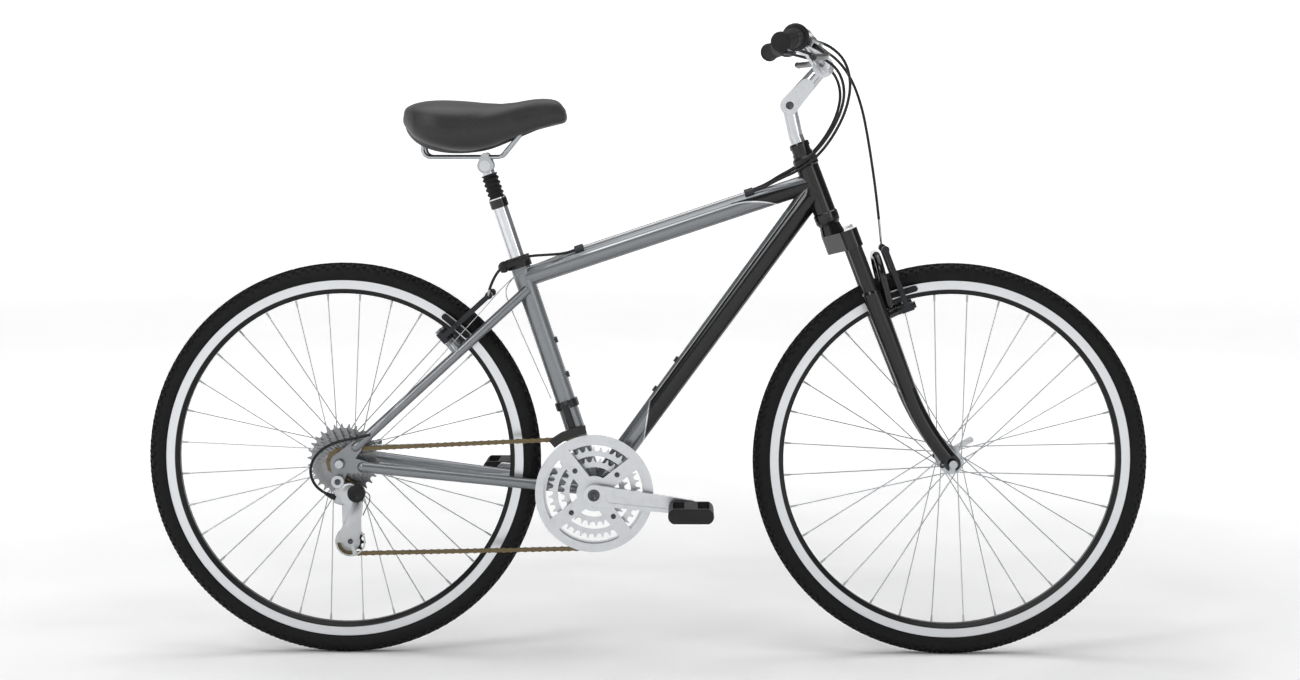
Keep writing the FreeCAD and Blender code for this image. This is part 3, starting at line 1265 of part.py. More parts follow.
def crank_arm(pedal, outward, boss_start):
    """Tapered arm with a pocket in its outer face and a boss on the spindle."""
    face = outward * (CRANK_FACE_Y - CRANK_THICKNESS)
    depth = outward * CRANK_THICKNESS
    arm = link(CRANK_CENTRE + face, pedal + face, CRANK_BOSS_RADIUS, CRANK_TIP_RADIUS, depth)
    boss = rod(CRANK_CENTRE + outward * boss_start, CRANK_CENTRE + outward * CRANK_FACE_Y, CRANK_BOSS_RADIUS)
    along = (pedal - CRANK_CENTRE).normalize()
    pocket_base = outward * (CRANK_FACE_Y - CRANK_POCKET_DEPTH)
    pocket = link(CRANK_CENTRE + along * (CRANK_BOSS_RADIUS + CRANK_TIP_RADIUS) + pocket_base,
                  pedal - along * (CRANK_TIP_RADIUS * 2) + pocket_base, CRANK_BOSS_RADIUS * POCKET_SHARE,
                  CRANK_TIP_RADIUS * POCKET_SHARE, depth)
    return fuse([arm, boss]).cut(pocket)


def spider():
    """Four arms that carry the chainrings, with posts for the small ring and the guard."""
    base = CRANK_CENTRE - Y_AXIS * SPIDER_OUTER_Y
    depth = Y_AXIS * (SPIDER_OUTER_Y - SPIDER_INNER_Y)
    small_y = CHAIN_PLANE_Y - RING_SPACING * 2 + TOOTH_WIDTH / 2
    pieces = []
    for turn in spider_turns():
        end = polar(base, RING_BOLT_RADIUS, turn)
        pieces.append(link(base, end, CRANK_BOSS_RADIUS / 2, RING_TAB_RADIUS, depth))
        post = polar(CRANK_CENTRE, SMALL_RING_BOLT_RADIUS, turn)
        pieces.append(rod(post - Y_AXIS * small_y, post - Y_AXIS * SPIDER_OUTER_Y, RING_TAB_RADIUS / 2))
    return pieces


def guard_posts():
    """Spacers between the large chainring and the guard."""
    start = CHAIN_PLANE_Y + TOOTH_WIDTH / 2
    spots = [polar(CRANK_CENTRE, RING_BOLT_RADIUS, turn) for turn in spider_turns()]
    return [rod(spot - Y_AXIS * start, spot - Y_AXIS * GUARD_Y, RING_TAB_RADIUS / 2) for spot in spots]


def spindle_space():
    return centred_rod(CRANK_CENTRE, Y_AXIS, SPINDLE_HALF * 2, SPINDLE_RADIUS)


def pedal_thread(pedal, outward):
    start = pedal + outward * (CRANK_FACE_Y - CRANK_THICKNESS)
    return rod(start, pedal + outward * CRANK_FACE_Y, PEDAL_AXLE_RADIUS)


def crank_arm_right():
    outward = Y_AXIS * -1
    arm = crank_arm(RIGHT_PEDAL_CENTRE, outward, SPIDER_INNER_Y - TOOTH_WIDTH)
    cuts = [spindle_space(), pedal_thread(RIGHT_PEDAL_CENTRE, outward)]
    return fuse([arm] + spider()).cut(cuts)


def crank_arm_left():
    arm = crank_arm(LEFT_PEDAL_CENTRE, Y_AXIS, SPIDER_INNER_Y)
    return arm.cut([spindle_space(), pedal_thread(LEFT_PEDAL_CENTRE, Y_AXIS)])


def chain_guard_with_posts():
    return fuse([chain_guard()] + guard_posts())


def bottom_bracket_spindle():
    return spindle_space()


def bottom_bracket_cups():
    """Bearing cups screwed into the shell, with their flanges outside it."""
    depth = SHELL_HALF / 2
    profile = [(SPINDLE_RADIUS + RUNNING_FIT, SHELL_HALF - depth), (SHELL_BORE_RADIUS, SHELL_HALF - depth),
               (SHELL_BORE_RADIUS, SHELL_HALF), (SHELL_RADIUS - TUBE_WALL, SHELL_HALF),
               (SHELL_RADIUS - TUBE_WALL, SHELL_HALF + CUP_FLANGE), (SPINDLE_RADIUS + RUNNING_FIT,
                                                                     SHELL_HALF + CUP_FLANGE)]
    return pair(wheel_turned(profile, CRANK_CENTRE))


def pedal_axle(pedal, outward):
    start = pedal + outward * (CRANK_FACE_Y - CRANK_THICKNESS)
    collar = pedal + outward * CRANK_FACE_Y
    end = collar + outward * (PEDAL_START + PEDAL_LENGTH - PEDAL_WALL)
    stop = rod(collar, collar + outward * (PEDAL_START - BODY_GAP), PEDAL_AXLE_RADIUS * AXLE_COLLAR_SHARE)
    return fuse([rod(start, end, PEDAL_AXLE_RADIUS), stop])


def pedal_axles():
    return Part.makeCompound([pedal_axle(RIGHT_PEDAL_CENTRE, Y_AXIS * -1),
                              pedal_axle(LEFT_PEDAL_CENTRE, Y_AXIS)])


def pedal(centre, outward):
    """Resin platform: a frame round two windows and the bearing barrel between them."""
    start = centre + outward * (CRANK_FACE_Y + PEDAL_START)
    half = PEDAL_WIDTH / 2
    rise = Z_AXIS * (PEDAL_HEIGHT / 2)
    nose = PEDAL_HEIGHT / 2
    body = link(start - X_AXIS * (half - nose), start + X_AXIS * (half - nose), nose, nose,
                outward * PEDAL_LENGTH)
    flat = slab([start - X_AXIS * half - rise * PEDAL_FLAT_SHARE,
                 start + X_AXIS * half - rise * PEDAL_FLAT_SHARE,
                 start + X_AXIS * half + rise * PEDAL_FLAT_SHARE,
                 start - X_AXIS * half + rise * PEDAL_FLAT_SHARE],
                outward * PEDAL_LENGTH)
    barrel = rod(start, start + outward * PEDAL_LENGTH, PEDAL_CORE_RADIUS)
    window_depth = outward * (PEDAL_LENGTH - PEDAL_WALL * 2)
    cuts = []
    for side in (1, -1):
        near = start + X_AXIS * (side * PEDAL_CORE_RADIUS) + outward * PEDAL_WALL - rise * 2
        far = start + X_AXIS * (side * (half - PEDAL_WALL)) + outward * PEDAL_WALL - rise * 2
        cuts.append(slab([near, far, far + rise * 4, near + rise * 4], window_depth))
    bore = rod(start, start + outward * (PEDAL_LENGTH - PEDAL_WALL + BODY_GAP),
               PEDAL_AXLE_RADIUS + RUNNING_FIT)
    return fuse([body.common(flat), barrel]).cut(cuts + [bore])


def pedal_right():
    return pedal(RIGHT_PEDAL_CENTRE, Y_AXIS * -1)


def pedal_left():
    return pedal(LEFT_PEDAL_CENTRE, Y_AXIS)


KNUCKLE_START_Y = REAR_HALF + DROPOUT_THICKNESS
CAGE_OUTER_Y = CHAIN_PLANE_Y + CAGE_HALF_GAP + CAGE_THICKNESS


def rear_derailleur_body():
    """Upper knuckle on the hanger, slanted links and the lower knuckle that carries the cage."""
    out = Y_AXIS * -1
    eye = HANGER_EYE + out * KNUCKLE_START_Y
    upper = rod(eye, eye + out * KNUCKLE_LENGTH, KNUCKLE_RADIUS)
    bolt = rod(HANGER_EYE + out * REAR_HALF, eye, HANGER_BOLT_RADIUS)
    low = GUIDE_CENTRE + out * (CAGE_OUTER_Y + BODY_GAP)
    low_end = GUIDE_CENTRE + out * (KNUCKLE_START_Y + KNUCKLE_LENGTH)
    lower = rod(low, low_end, KNUCKLE_RADIUS)
    links = link(eye + out * (KNUCKLE_LENGTH / 3),
                 GUIDE_CENTRE + out * (KNUCKLE_START_Y + KNUCKLE_LENGTH / 3),
                 KNUCKLE_RADIUS * LINK_SHARE, KNUCKLE_RADIUS * LINK_SHARE,
                 out * (KNUCKLE_LENGTH * LINK_SHARE))
    bore = rod(low, low + out * (KNUCKLE_LENGTH / 2), CAGE_PIN_RADIUS + RUNNING_FIT)
    return fuse([upper, bolt, lower, links]).cut(bore)


def derailleur_cage():
    """Two plates joined by the pulley bolts, with the pivot pin into the lower knuckle."""
    out = Y_AXIS * -1
    inner_y = CHAIN_PLANE_Y - CAGE_HALF_GAP - CAGE_THICKNESS
    plates = []
    for low_y in (inner_y, CAGE_OUTER_Y - CAGE_THICKNESS):
        plates.append(link(GUIDE_CENTRE + out * low_y, TENSION_CENTRE + out * low_y, CAGE_END_RADIUS,
                           CAGE_END_RADIUS, out * CAGE_THICKNESS))
    bolts = [rod(spot + out * inner_y, spot + out * CAGE_OUTER_Y, PULLEY_BOLT_RADIUS)
             for spot in (GUIDE_CENTRE, TENSION_CENTRE)]
    pin_end = CAGE_OUTER_Y + BODY_GAP + KNUCKLE_LENGTH / 2 - BODY_GAP
    pin = rod(GUIDE_CENTRE + out * CAGE_OUTER_Y, GUIDE_CENTRE + out * pin_end, CAGE_PIN_RADIUS)
    return fuse(plates + bolts + [pin])


def jockey_pulley(centre, wheel_index):
    body = sprocket(centre, PULLEY_TEETH, seat_phase(wheel_index), CHAIN_PLANE_Y)
    middle = centre - Y_AXIS * CHAIN_PLANE_Y
    hub = centred_rod(middle, Y_AXIS, (CAGE_HALF_GAP - BODY_GAP) * 2, PULLEY_BOLT_RADIUS * 2)
    bore = centred_rod(middle, Y_AXIS, CAGE_HALF_GAP * 4, PULLEY_BOLT_RADIUS + RUNNING_FIT)
    return fuse([body, hub]).cut(bore)


def sector(low_radius, high_radius, low_y, high_y, from_angle, to_angle):
    """Curved plate round the crank centre."""
    corners = [CRANK_CENTRE + heading(from_angle) * low_radius - Y_AXIS * low_y,
               CRANK_CENTRE + heading(from_angle) * high_radius - Y_AXIS * low_y,
               CRANK_CENTRE + heading(from_angle) * high_radius - Y_AXIS * high_y,
               CRANK_CENTRE + heading(from_angle) * low_radius - Y_AXIS * high_y]
    face = Part.Face(Part.makePolygon(corners + corners[:1]))
    return face.revolve(CRANK_CENTRE, Y_AXIS, from_angle - to_angle)


def front_derailleur():
    """Band on the seat tube, swing link and the cage over the large chainring."""
    middle = 180 - SEAT_ANGLE
    low = GUARD_RADIUS + FD_CLEARANCE
    high = low + FD_PLATE_DEPTH
    out_y = CHAIN_PLANE_Y + FD_HALF_GAP
    in_y = CHAIN_PLANE_Y - FD_HALF_GAP
    start, stop = middle - FD_SPREAD / 2, middle + FD_SPREAD
    plates = [sector(low, high, out_y, out_y + FD_PLATE_THICKNESS, start, stop),
              sector(low, high, in_y - FD_PLATE_THICKNESS, in_y, start, stop),
              sector(high - FD_PLATE_THICKNESS, high, in_y, out_y, start, middle + FD_SPREAD / 3)]
    band_low = on_seat(FD_BAND_AT - FD_BAND_HEIGHT / 2)
    band_high = on_seat(FD_BAND_AT + FD_BAND_HEIGHT / 2)
    band = rod(band_low, band_high, SEAT_TUBE_RADIUS + FD_BAND_THICKNESS)
    arm = rod(on_seat(FD_BAND_AT, 0, -SEAT_TUBE_RADIUS), on_seat(FD_BAND_AT, 0, -in_y), FD_BAND_HEIGHT / 2)
    drop = rod(on_seat(FD_BAND_AT, 0, -in_y), on_seat(high - FD_PLATE_THICKNESS, 0, -in_y),
               FD_BAND_HEIGHT / 2)
    knee = Part.makeSphere(FD_BAND_HEIGHT / 2, on_seat(FD_BAND_AT, 0, -in_y))
    return largest(fuse(plates + [band, arm, knee, drop]).cut(seat_tube_space()))


def seatpost_lower():
    """Tube clamped in the frame, with the collar that guides the sliding upper post."""
    low = on_seat(SEAT_TUBE_LENGTH - POST_INSERT)
    collar_low = on_seat(POST_COLLAR_AT)
    top = on_seat(POST_COLLAR_AT + POST_COLLAR_HEIGHT)
    tube = rod(low, collar_low, POST_RADIUS)
    collar = rod(collar_low, top, POST_COLLAR_RADIUS)
    bore = rod(low, on_seat(POST_COLLAR_AT + POST_COLLAR_HEIGHT + OVERRUN), UPPER_POST_RADIUS + RUNNING_FIT)
    return fuse([tube, collar]).cut(bore)


def seatpost_upper():
    """Sliding post with the round cradle across its head."""
    start = on_seat(POST_COLLAR_AT + POST_COLLAR_HEIGHT - UPPER_POST_INSERT)
    head = on_seat(CRADLE_AT)
    post = rod(start, head, UPPER_POST_RADIUS)
    cradle = centred_rod(head, Y_AXIS, CRADLE_WIDTH, CRADLE_RADIUS)
    return fuse([post, cradle])


def boot_circles(thinner):
    start = POST_COLLAR_AT + POST_COLLAR_HEIGHT
    step = BOOT_HEIGHT / BOOT_FOLDS
    rings = []
    for fold in range(BOOT_FOLDS):
        for share, radius in zip(BOOT_FOLD_SHARES, (BOOT_ROOT_RADIUS, BOOT_CREST_RADIUS, BOOT_CREST_RADIUS,
                                                    BOOT_ROOT_RADIUS)):
            centre = on_seat(start + step * (fold + share))
            rings.append(Part.Wire(Part.makeCircle(radius - thinner, centre, SEAT_UP)))
    return rings


def seatpost_boot():
    """Rubber bellows over the sliding part of the seat post."""
    outer = Part.makeLoft(boot_circles(0), True, True)
    return outer.cut(Part.makeLoft(boot_circles(BOOT_WALL), True, True))


RAIL_HEIGHT = CRADLE_RADIUS + RAIL_RADIUS + POST_WALL
RAIL_SEAT = on_seat(CRADLE_AT) + Z_AXIS * RAIL_HEIGHT
SADDLE_REAR_X = RAIL_SEAT.x - SADDLE_SETBACK
SADDLE_DECK_Z = RAIL_SEAT.z + SADDLE_RISE


def saddle_rail():
    """Bent rod from the rear of the base, through the clamp and up to the nose."""
    length = SADDLE_LENGTH
    points = [vec(SADDLE_REAR_X + length * along, RAIL_Y * side, RAIL_SEAT.z + length * rise)
              for along, side, rise in RAIL_SHARES]
    return swept(points, RAIL_RADIUS, RAIL_RADIUS * RAIL_BEND_SHARE)


def saddle_rails():
    base = saddle_base()
    return pair(largest(saddle_rail().cut(base)))


def saddle_clamp():
    """Two side plates that turn on the cradle and grip the rails."""
    middle = Y_AXIS * (RAIL_Y - CLAMP_SIDE_WIDTH / 2)
    depth = Y_AXIS * CLAMP_SIDE_WIDTH
    plate = link(on_seat(CRADLE_AT) + middle, RAIL_SEAT + middle, CRADLE_RADIUS + POST_WALL * 2,
                 RAIL_RADIUS + POST_WALL * 2, depth)
    bore = rod(on_seat(CRADLE_AT), on_seat(CRADLE_AT, 0, CRADLE_WIDTH), CRADLE_RADIUS + RUNNING_FIT)
    return pair(plate.cut([bore, saddle_rail()]))


# Along the length, half width, top and bottom, as shares of the saddle's sizes


def saddle_section(shares):
    along, wide, top, bottom = shares
    x = SADDLE_REAR_X + SADDLE_LENGTH * along
    half = SADDLE_WIDTH / 2 * wide
    high = SADDLE_DECK_Z + SADDLE_TOP * top
    low = SADDLE_DECK_Z + SADDLE_DEPTH * bottom
    floor = low + SADDLE_BASE_THICKNESS
    edge = high - (high - floor) * SADDLE_SIDE_SHARE
    foot = half * SADDLE_BOTTOM_WIDTH_SHARE
    bulge = half * SADDLE_BULGE_SHARE
    middle = (edge + floor) / 2
    return x, half, high, low, floor, edge, foot, bulge, middle


def cushion_wire(shares):
    x, half, high, low, floor, edge, foot, bulge, middle = saddle_section(shares)
    edges = [Part.Arc(vec(x, half, edge), vec(x, 0, high), vec(x, -half, edge)).toShape(),
             Part.Arc(vec(x, -half, edge), vec(x, -bulge, middle), vec(x, -foot, floor)).toShape(),
             Part.LineSegment(vec(x, -foot, floor), vec(x, foot, floor)).toShape(),
             Part.Arc(vec(x, foot, floor), vec(x, bulge, middle), vec(x, half, edge)).toShape()]
    return Part.Wire(edges)


def saddle_cushion():
    """Padded top: crowned, with sides drawn in under its edge."""
    return Part.makeLoft([cushion_wire(shares) for shares in SADDLE_SHARES], True, False)


def base_wire(shares):
    x, half, high, low, floor, edge, foot, bulge, middle = saddle_section(shares)
    inset = foot * SADDLE_BOTTOM_WIDTH_SHARE
    return Part.makePolygon([vec(x, -foot, floor), vec(x, foot, floor), vec(x, inset, low),
                             vec(x, -inset, low),
                             vec(x, -foot, floor)])


def saddle_base():
    """Moulded pan under the cushion."""
    return Part.makeLoft([base_wire(shares) for shares in SADDLE_SHARES], True, False)


def seat_clamp():
    """Split collar round the top of the seat tube, with lugs for the quick release bolt."""
    low = SEAT_TUBE_LENGTH - CLAMP_HEIGHT
    ring = rod(on_seat(low), on_seat(SEAT_TUBE_LENGTH), CLAMP_RADIUS)
    lug_at = -CLAMP_RADIUS - CLAMP_LUG / 2
    lug = centred_rod(on_seat(low + CLAMP_HEIGHT / 2, lug_at), Y_AXIS, CLAMP_LUG * 2, CLAMP_HEIGHT / 2)
    slot = slab([on_seat(low - OVERRUN, 0, -CLAMP_SLOT),
                 on_seat(low - OVERRUN, -CLAMP_RADIUS * 2, -CLAMP_SLOT),
                 on_seat(SEAT_TUBE_LENGTH + OVERRUN, -CLAMP_RADIUS * 2, -CLAMP_SLOT),
                 on_seat(SEAT_TUBE_LENGTH + OVERRUN, 0, -CLAMP_SLOT)], Y_AXIS * (CLAMP_SLOT * 2))
    bolt = clamp_bolt()
    bore = rod(on_seat(0), on_seat(SEAT_TUBE_LENGTH + OVERRUN), SEAT_TUBE_RADIUS)
    return fuse([ring, lug]).cut([bore, slot]).fuse(bolt).removeSplitter()


def clamp_bolt():
    lug_at = -CLAMP_RADIUS - CLAMP_LUG / 2
    middle = on_seat(SEAT_TUBE_LENGTH - CLAMP_HEIGHT / 2, lug_at)
    nut = middle + Y_AXIS * CLAMP_LUG
    shank = rod(middle - Y_AXIS * CLAMP_RADIUS, nut, CLAMP_BOLT_RADIUS)
    washer = rod(middle - Y_AXIS * CLAMP_RADIUS, middle - Y_AXIS * CLAMP_LUG, CLAMP_NUT_RADIUS)
    return fuse([shank, washer, rod(nut, nut + Y_AXIS * QR_LEVER_WIDTH, CLAMP_NUT_RADIUS)])


def seat_clamp_lever():
    """Cam lever that wraps forward beside the collar."""
    lug_at = -CLAMP_RADIUS - CLAMP_LUG / 2
    out = CLAMP_RADIUS + BODY_GAP + QR_BARREL_RADIUS
    middle = on_seat(SEAT_TUBE_LENGTH - CLAMP_HEIGHT / 2, lug_at) - Y_AXIS * out
    return cam_lever(middle, heading(CLAMP_LEVER_ANGLE), CLAMP_LEVER_LENGTH)


STEM_PIVOT = on_steer(STEM_PIVOT_AT, STEM_PIVOT_FORWARD)
STEM_ALONG = heading(STEM_ARM_ANGLE)
BAR_CENTRE = STEM_PIVOT + STEM_ALONG * STEM_ARM_LENGTH
STEM_LUG_WIDTH = STEM_WIDTH - STEM_FORK_WALL * 2


def stem_quill():
    """Post in the steerer with the lug of the stem's hinge on top."""
    low = on_steer(STACK_TOP - QUILL_INSERT)
    neck = on_steer(STACK_TOP + QUILL_RADIUS)
    post = rod(low, neck, QUILL_RADIUS)
    rise = rod(neck, STEM_PIVOT, QUILL_RADIUS)
    elbow = Part.makeSphere(QUILL_RADIUS, neck)
    lug = centred_rod(STEM_PIVOT, Y_AXIS, STEM_LUG_WIDTH - BODY_GAP * 2, STEM_KNUCKLE_RADIUS)
    ears = [rod(STEM_PIVOT + Y_AXIS * (side * (STEM_LUG_WIDTH / 2 - BODY_GAP)),
                STEM_PIVOT + Y_AXIS * (side * STEM_WIDTH), STEM_KNUCKLE_RADIUS + BODY_GAP) for side in (1,
                                                                                                        -1)]
    bore = centred_rod(STEM_PIVOT, Y_AXIS, STEM_WIDTH * 2, STEM_PIN_RADIUS + RUNNING_FIT)
    return fuse([post, rise.cut(ears), elbow, lug]).cut(bore)


def stem_arm():
    """Arm with two ears round the quill's lug, its hinge bolt, and the rear half of the bar clamp."""
    ears = []
    for low_y in (STEM_LUG_WIDTH / 2, -STEM_WIDTH / 2):
        base = Y_AXIS * low_y
        ears.append(link(STEM_PIVOT + base, STEM_PIVOT + STEM_ALONG * (STEM_ARM_LENGTH / 2) + base,
                         STEM_KNUCKLE_RADIUS, STEM_ARM_RADIUS, Y_AXIS * STEM_FORK_WALL))
    start = STEM_PIVOT + STEM_ALONG * (STEM_KNUCKLE_RADIUS + STEM_ARM_RADIUS / 2)
    beam = cone(start, BAR_CENTRE, STEM_ARM_RADIUS * STEM_TAPER_SHARE, STEM_ARM_RADIUS)
    clamp = centred_rod(BAR_CENTRE, Y_AXIS, BAR_CLAMP_WIDTH, BAR_CLAMP_RADIUS)
    pin = centred_rod(STEM_PIVOT, Y_AXIS, STEM_WIDTH, STEM_PIN_RADIUS)
    heads = centred_rod(STEM_PIVOT, Y_AXIS, STEM_WIDTH + STEM_PIN_RADIUS, STEM_PIN_RADIUS * 2)
    heads = heads.cut(centred_rod(STEM_PIVOT, Y_AXIS, STEM_WIDTH, STEM_PIN_RADIUS * 3))
    return fuse(ears + [beam, clamp, pin, heads]).cut([bar_bore(), faceplate_space()])


def bar_bore():
    return centred_rod(BAR_CENTRE, Y_AXIS, BAR_CLAMP_WIDTH * 2, BAR_BULGE_RADIUS)


def faceplate_space():
    """Everything in front of the clamp's parting plane."""
    across = STEM_ALONG.cross(Y_AXIS)
    wide = BAR_CLAMP_RADIUS * 2
    base = BAR_CENTRE - Y_AXIS * BAR_CLAMP_WIDTH
    return slab([base - across * wide, base + across * wide, base + across * wide + STEM_ALONG * wide,
                 base - across * wide + STEM_ALONG * wide], Y_AXIS * (BAR_CLAMP_WIDTH * 2))


def stem_faceplate():
    clamp = centred_rod(BAR_CENTRE, Y_AXIS, BAR_CLAMP_WIDTH, BAR_CLAMP_RADIUS)
    space = faceplate_space()
    space.translate(STEM_ALONG * FACEPLATE_GAP)
    return clamp.common(space).cut(bar_bore())


BAR_END = BAR_CENTRE + vec(-BAR_GRIP_BACK, BAR_HALF_WIDTH, BAR_GRIP_RISE)
BAR_SHOULDER = BAR_CENTRE + vec(-BAR_SHOULDER_BACK, BAR_SHOULDER_Y, BAR_RISE)
GRIP_IN = (BAR_SHOULDER - BAR_END).normalize()
LEVER_WAY = heading(-LEVER_DROP_ANGLE)
LEVER_WAY = (LEVER_WAY - GRIP_IN * LEVER_WAY.dot(GRIP_IN)).normalize()
LEVER_AXIS = GRIP_IN.cross(LEVER_WAY)


def handlebar():
    knee = BAR_CENTRE + Y_AXIS * BAR_KNEE_Y
    half = [BAR_END, BAR_SHOULDER, knee]
    points = half + [vec(p.x, -p.y, p.z) for p in reversed(half)]
    bar = swept(points, BAR_RADIUS, BAR_BEND_RADIUS)
    bulge = centred_rod(BAR_CENTRE, Y_AXIS, BAR_BULGE_LENGTH, BAR_BULGE_RADIUS)
    return fuse([bar, bulge])


def on_grip(inward, forward=0, rise=0):
    """Left side point by its distance in from the bar's end, towards the lever and across."""
    return BAR_END + GRIP_IN * inward + LEVER_WAY * forward + LEVER_AXIS * rise


TWIST_START = GRIP_LENGTH + BODY_GAP
HOUSING_START = TWIST_START + TWIST_LENGTH + BODY_GAP
BRACKET_START = HOUSING_START + HOUSING_LENGTH + BODY_GAP
BRACKET_MIDDLE = BRACKET_START + BRACKET_LENGTH / 2


def bar_space(fit):
    return rod(BAR_END, BAR_END + GRIP_IN * (BRACKET_START + BRACKET_LENGTH * 2), BAR_RADIUS + fit)


def grip():
    """Fixed rubber grip with a flared end cap."""
    profile = [(0, -GRIP_END_LENGTH), (GRIP_END_RADIUS, -GRIP_END_LENGTH), (GRIP_END_RADIUS, GRIP_END_LENGTH),
               (GRIP_RADIUS, GRIP_END_LENGTH * 2), (GRIP_RADIUS, GRIP_LENGTH), (0, GRIP_LENGTH)]
    return turned(profile, BAR_END, GRIP_IN, LEVER_WAY).cut(bar_space(0))


def grips():
    return pair(grip())


def twist_sleeve():
    """Turning sleeve of the shifter with grooves along it."""
    sleeve = rod(on_grip(TWIST_START), on_grip(TWIST_START + TWIST_LENGTH), TWIST_RADIUS)
    grooves = []
    for rib in range(TWIST_RIBS):
        turn = 2 * math.pi * rib / TWIST_RIBS
        shift = LEVER_WAY * (TWIST_RADIUS * math.cos(turn)) + LEVER_AXIS * (TWIST_RADIUS * math.sin(turn))
        start = on_grip(TWIST_START + TWIST_LENGTH * GROOVE_SHARE) + shift
        grooves.append(rod(start, start + GRIP_IN * (TWIST_LENGTH * (1 - GROOVE_SHARE * 2)),
                           TWIST_RIB_RADIUS))
    return sleeve.cut(grooves + [bar_space(RUNNING_FIT)])


def shifter_housing():
    """Fixed shifter body with its wide flange."""
    profile = [(0, 0), (HOUSING_RADIUS, 0), (HOUSING_RADIUS, HOUSING_LENGTH / 2),
               (BRACKET_RADIUS, HOUSING_LENGTH), (0, HOUSING_LENGTH)]
    return turned(profile, on_grip(HOUSING_START), GRIP_IN, LEVER_WAY).cut(bar_space(0))


def shifter_housings():
    return pair(shifter_housing())


LEVER_PIVOT = on_grip(BRACKET_MIDDLE, LEVER_PIVOT_OUT)


def lever_bracket():
    """Bar clamp with a clevis for the lever and a barrel for the cable."""
    ring = rod(on_grip(BRACKET_START), on_grip(BRACKET_START + BRACKET_LENGTH), BRACKET_RADIUS)
    gap = LEVER_THICKNESS / 2 + BODY_GAP
    ears = [link(on_grip(BRACKET_MIDDLE, 0, low), LEVER_PIVOT + LEVER_AXIS * low, LEVER_HUB_RADIUS,
                 LEVER_HUB_RADIUS,
                 LEVER_AXIS * EAR_THICKNESS) for low in (gap, -gap - EAR_THICKNESS)]
    pin = centred_rod(LEVER_PIVOT, LEVER_AXIS, (gap + EAR_THICKNESS) * 2, LEVER_PIN_RADIUS)
    barrel_start = on_grip(BRACKET_MIDDLE, LEVER_PIVOT_OUT * BARREL_SHARE)
    barrel = rod(barrel_start, barrel_start + GRIP_IN * BARREL_LENGTH, gap + EAR_THICKNESS)
    return fuse(ears + [ring, pin, barrel]).cut([bar_space(0), lever_sweep_space()])


def lever_sweep_space():
    """Room for the lever's hub between the clevis ears."""
    gap = LEVER_THICKNESS / 2 + BODY_GAP
    room = centred_rod(LEVER_PIVOT, LEVER_AXIS, gap * 2, LEVER_HUB_RADIUS + BODY_GAP * 3)
    return room.cut(centred_rod(LEVER_PIVOT, LEVER_AXIS, gap * 4, LEVER_PIN_RADIUS))


def lever_brackets():
    return pair(lever_bracket())


def brake_lever():
    """Curved finger lever from the clevis out along the grip, with a ball end."""
    hub = centred_rod(LEVER_PIVOT, LEVER_AXIS, LEVER_THICKNESS, LEVER_HUB_RADIUS)
    reach = LEVER_REACH - LEVER_PIVOT_OUT
    points = [LEVER_PIVOT] + [LEVER_PIVOT + LEVER_WAY * (reach * way) - GRIP_IN * (LEVER_LENGTH * out)
                              for way, out in LEVER_SHARES]
    blade = swept(points, LEVER_RADIUS)
    end = Part.makeSphere(LEVER_RADIUS * LEVER_BALL_SHARE, points[-1])
    flat = LEVER_AXIS * (LEVER_THICKNESS / 2)
    trim = slab([LEVER_PIVOT - flat + LEVER_WAY * a - GRIP_IN * b for a, b in
                 ((-LEVER_LENGTH, -LEVER_LENGTH), (LEVER_LENGTH, -LEVER_LENGTH), (LEVER_LENGTH,
                                                                                  LEVER_LENGTH * 2),
                  (-LEVER_LENGTH, LEVER_LENGTH * 2))], flat * 2)
    bore = centred_rod(LEVER_PIVOT, LEVER_AXIS, LEVER_THICKNESS * 2, LEVER_PIN_RADIUS + RUNNING_FIT)
    return fuse([hub, blade, end]).common(trim).cut(bore)


def route(points):
    return [vec(x, y, z) for x, y, z in points]


def cord(points, radius):
    """Tube along a route, with its tightest bend and its volume against section times length printed."""
    spots = route(points) if isinstance(points[0], tuple) else points
    path = rounded_path(spots)
    tube = swept(spots, radius)
    bends = [bend_radius(*trio) for trio in zip(spots, spots[1:], spots[2:])]
    expected = math.pi * radius ** 2 * path.Length
    print("cord tightest bend", round(min(bends), 1), "volume share", round(tube.Volume / expected, 4))
    return tube


def on_top_tube(x, y):
    """Point just above the top tube's surface at a place along the bike."""
    along = heading(TOP_TUBE_ANGLE)
    axis = TOP_TUBE_REAR + along * ((x - TOP_TUBE_REAR.x) / along.x)
    lift = math.sqrt((TOP_TUBE_RADIUS + STOP_LIFT) ** 2 - y ** 2)
    return axis + Y_AXIS * y + along.cross(Y_AXIS) * lift


def cable_stop(x, y, forward):
    """Slotted stop on the top tube: a socket for the housing and a small hole for the wire."""
    along = heading(TOP_TUBE_ANGLE) * (1 if forward else -1)
    start = on_top_tube(x, y)
    body = rod(start - along * STOP_LENGTH, start, STOP_RADIUS)
    socket = rod(start - along * (STOP_LENGTH / 2), start + along * OVERRUN, HOUSING_CABLE_RADIUS)
    hole = rod(start - along * (STOP_LENGTH * 2), start, WIRE_RADIUS + RUNNING_FIT)
    return body.cut([socket, hole, top_tube_space()])


def stop_entry(x, y, forward):
    """Two points of a cable in line with its stop: before the mouth and at the socket's end."""
    along = heading(TOP_TUBE_ANGLE) * (1 if forward else -1)
    mouth = on_top_tube(x, y)
    return [mouth + along * STOP_LENGTH, mouth - along * (STOP_LENGTH / 2)]


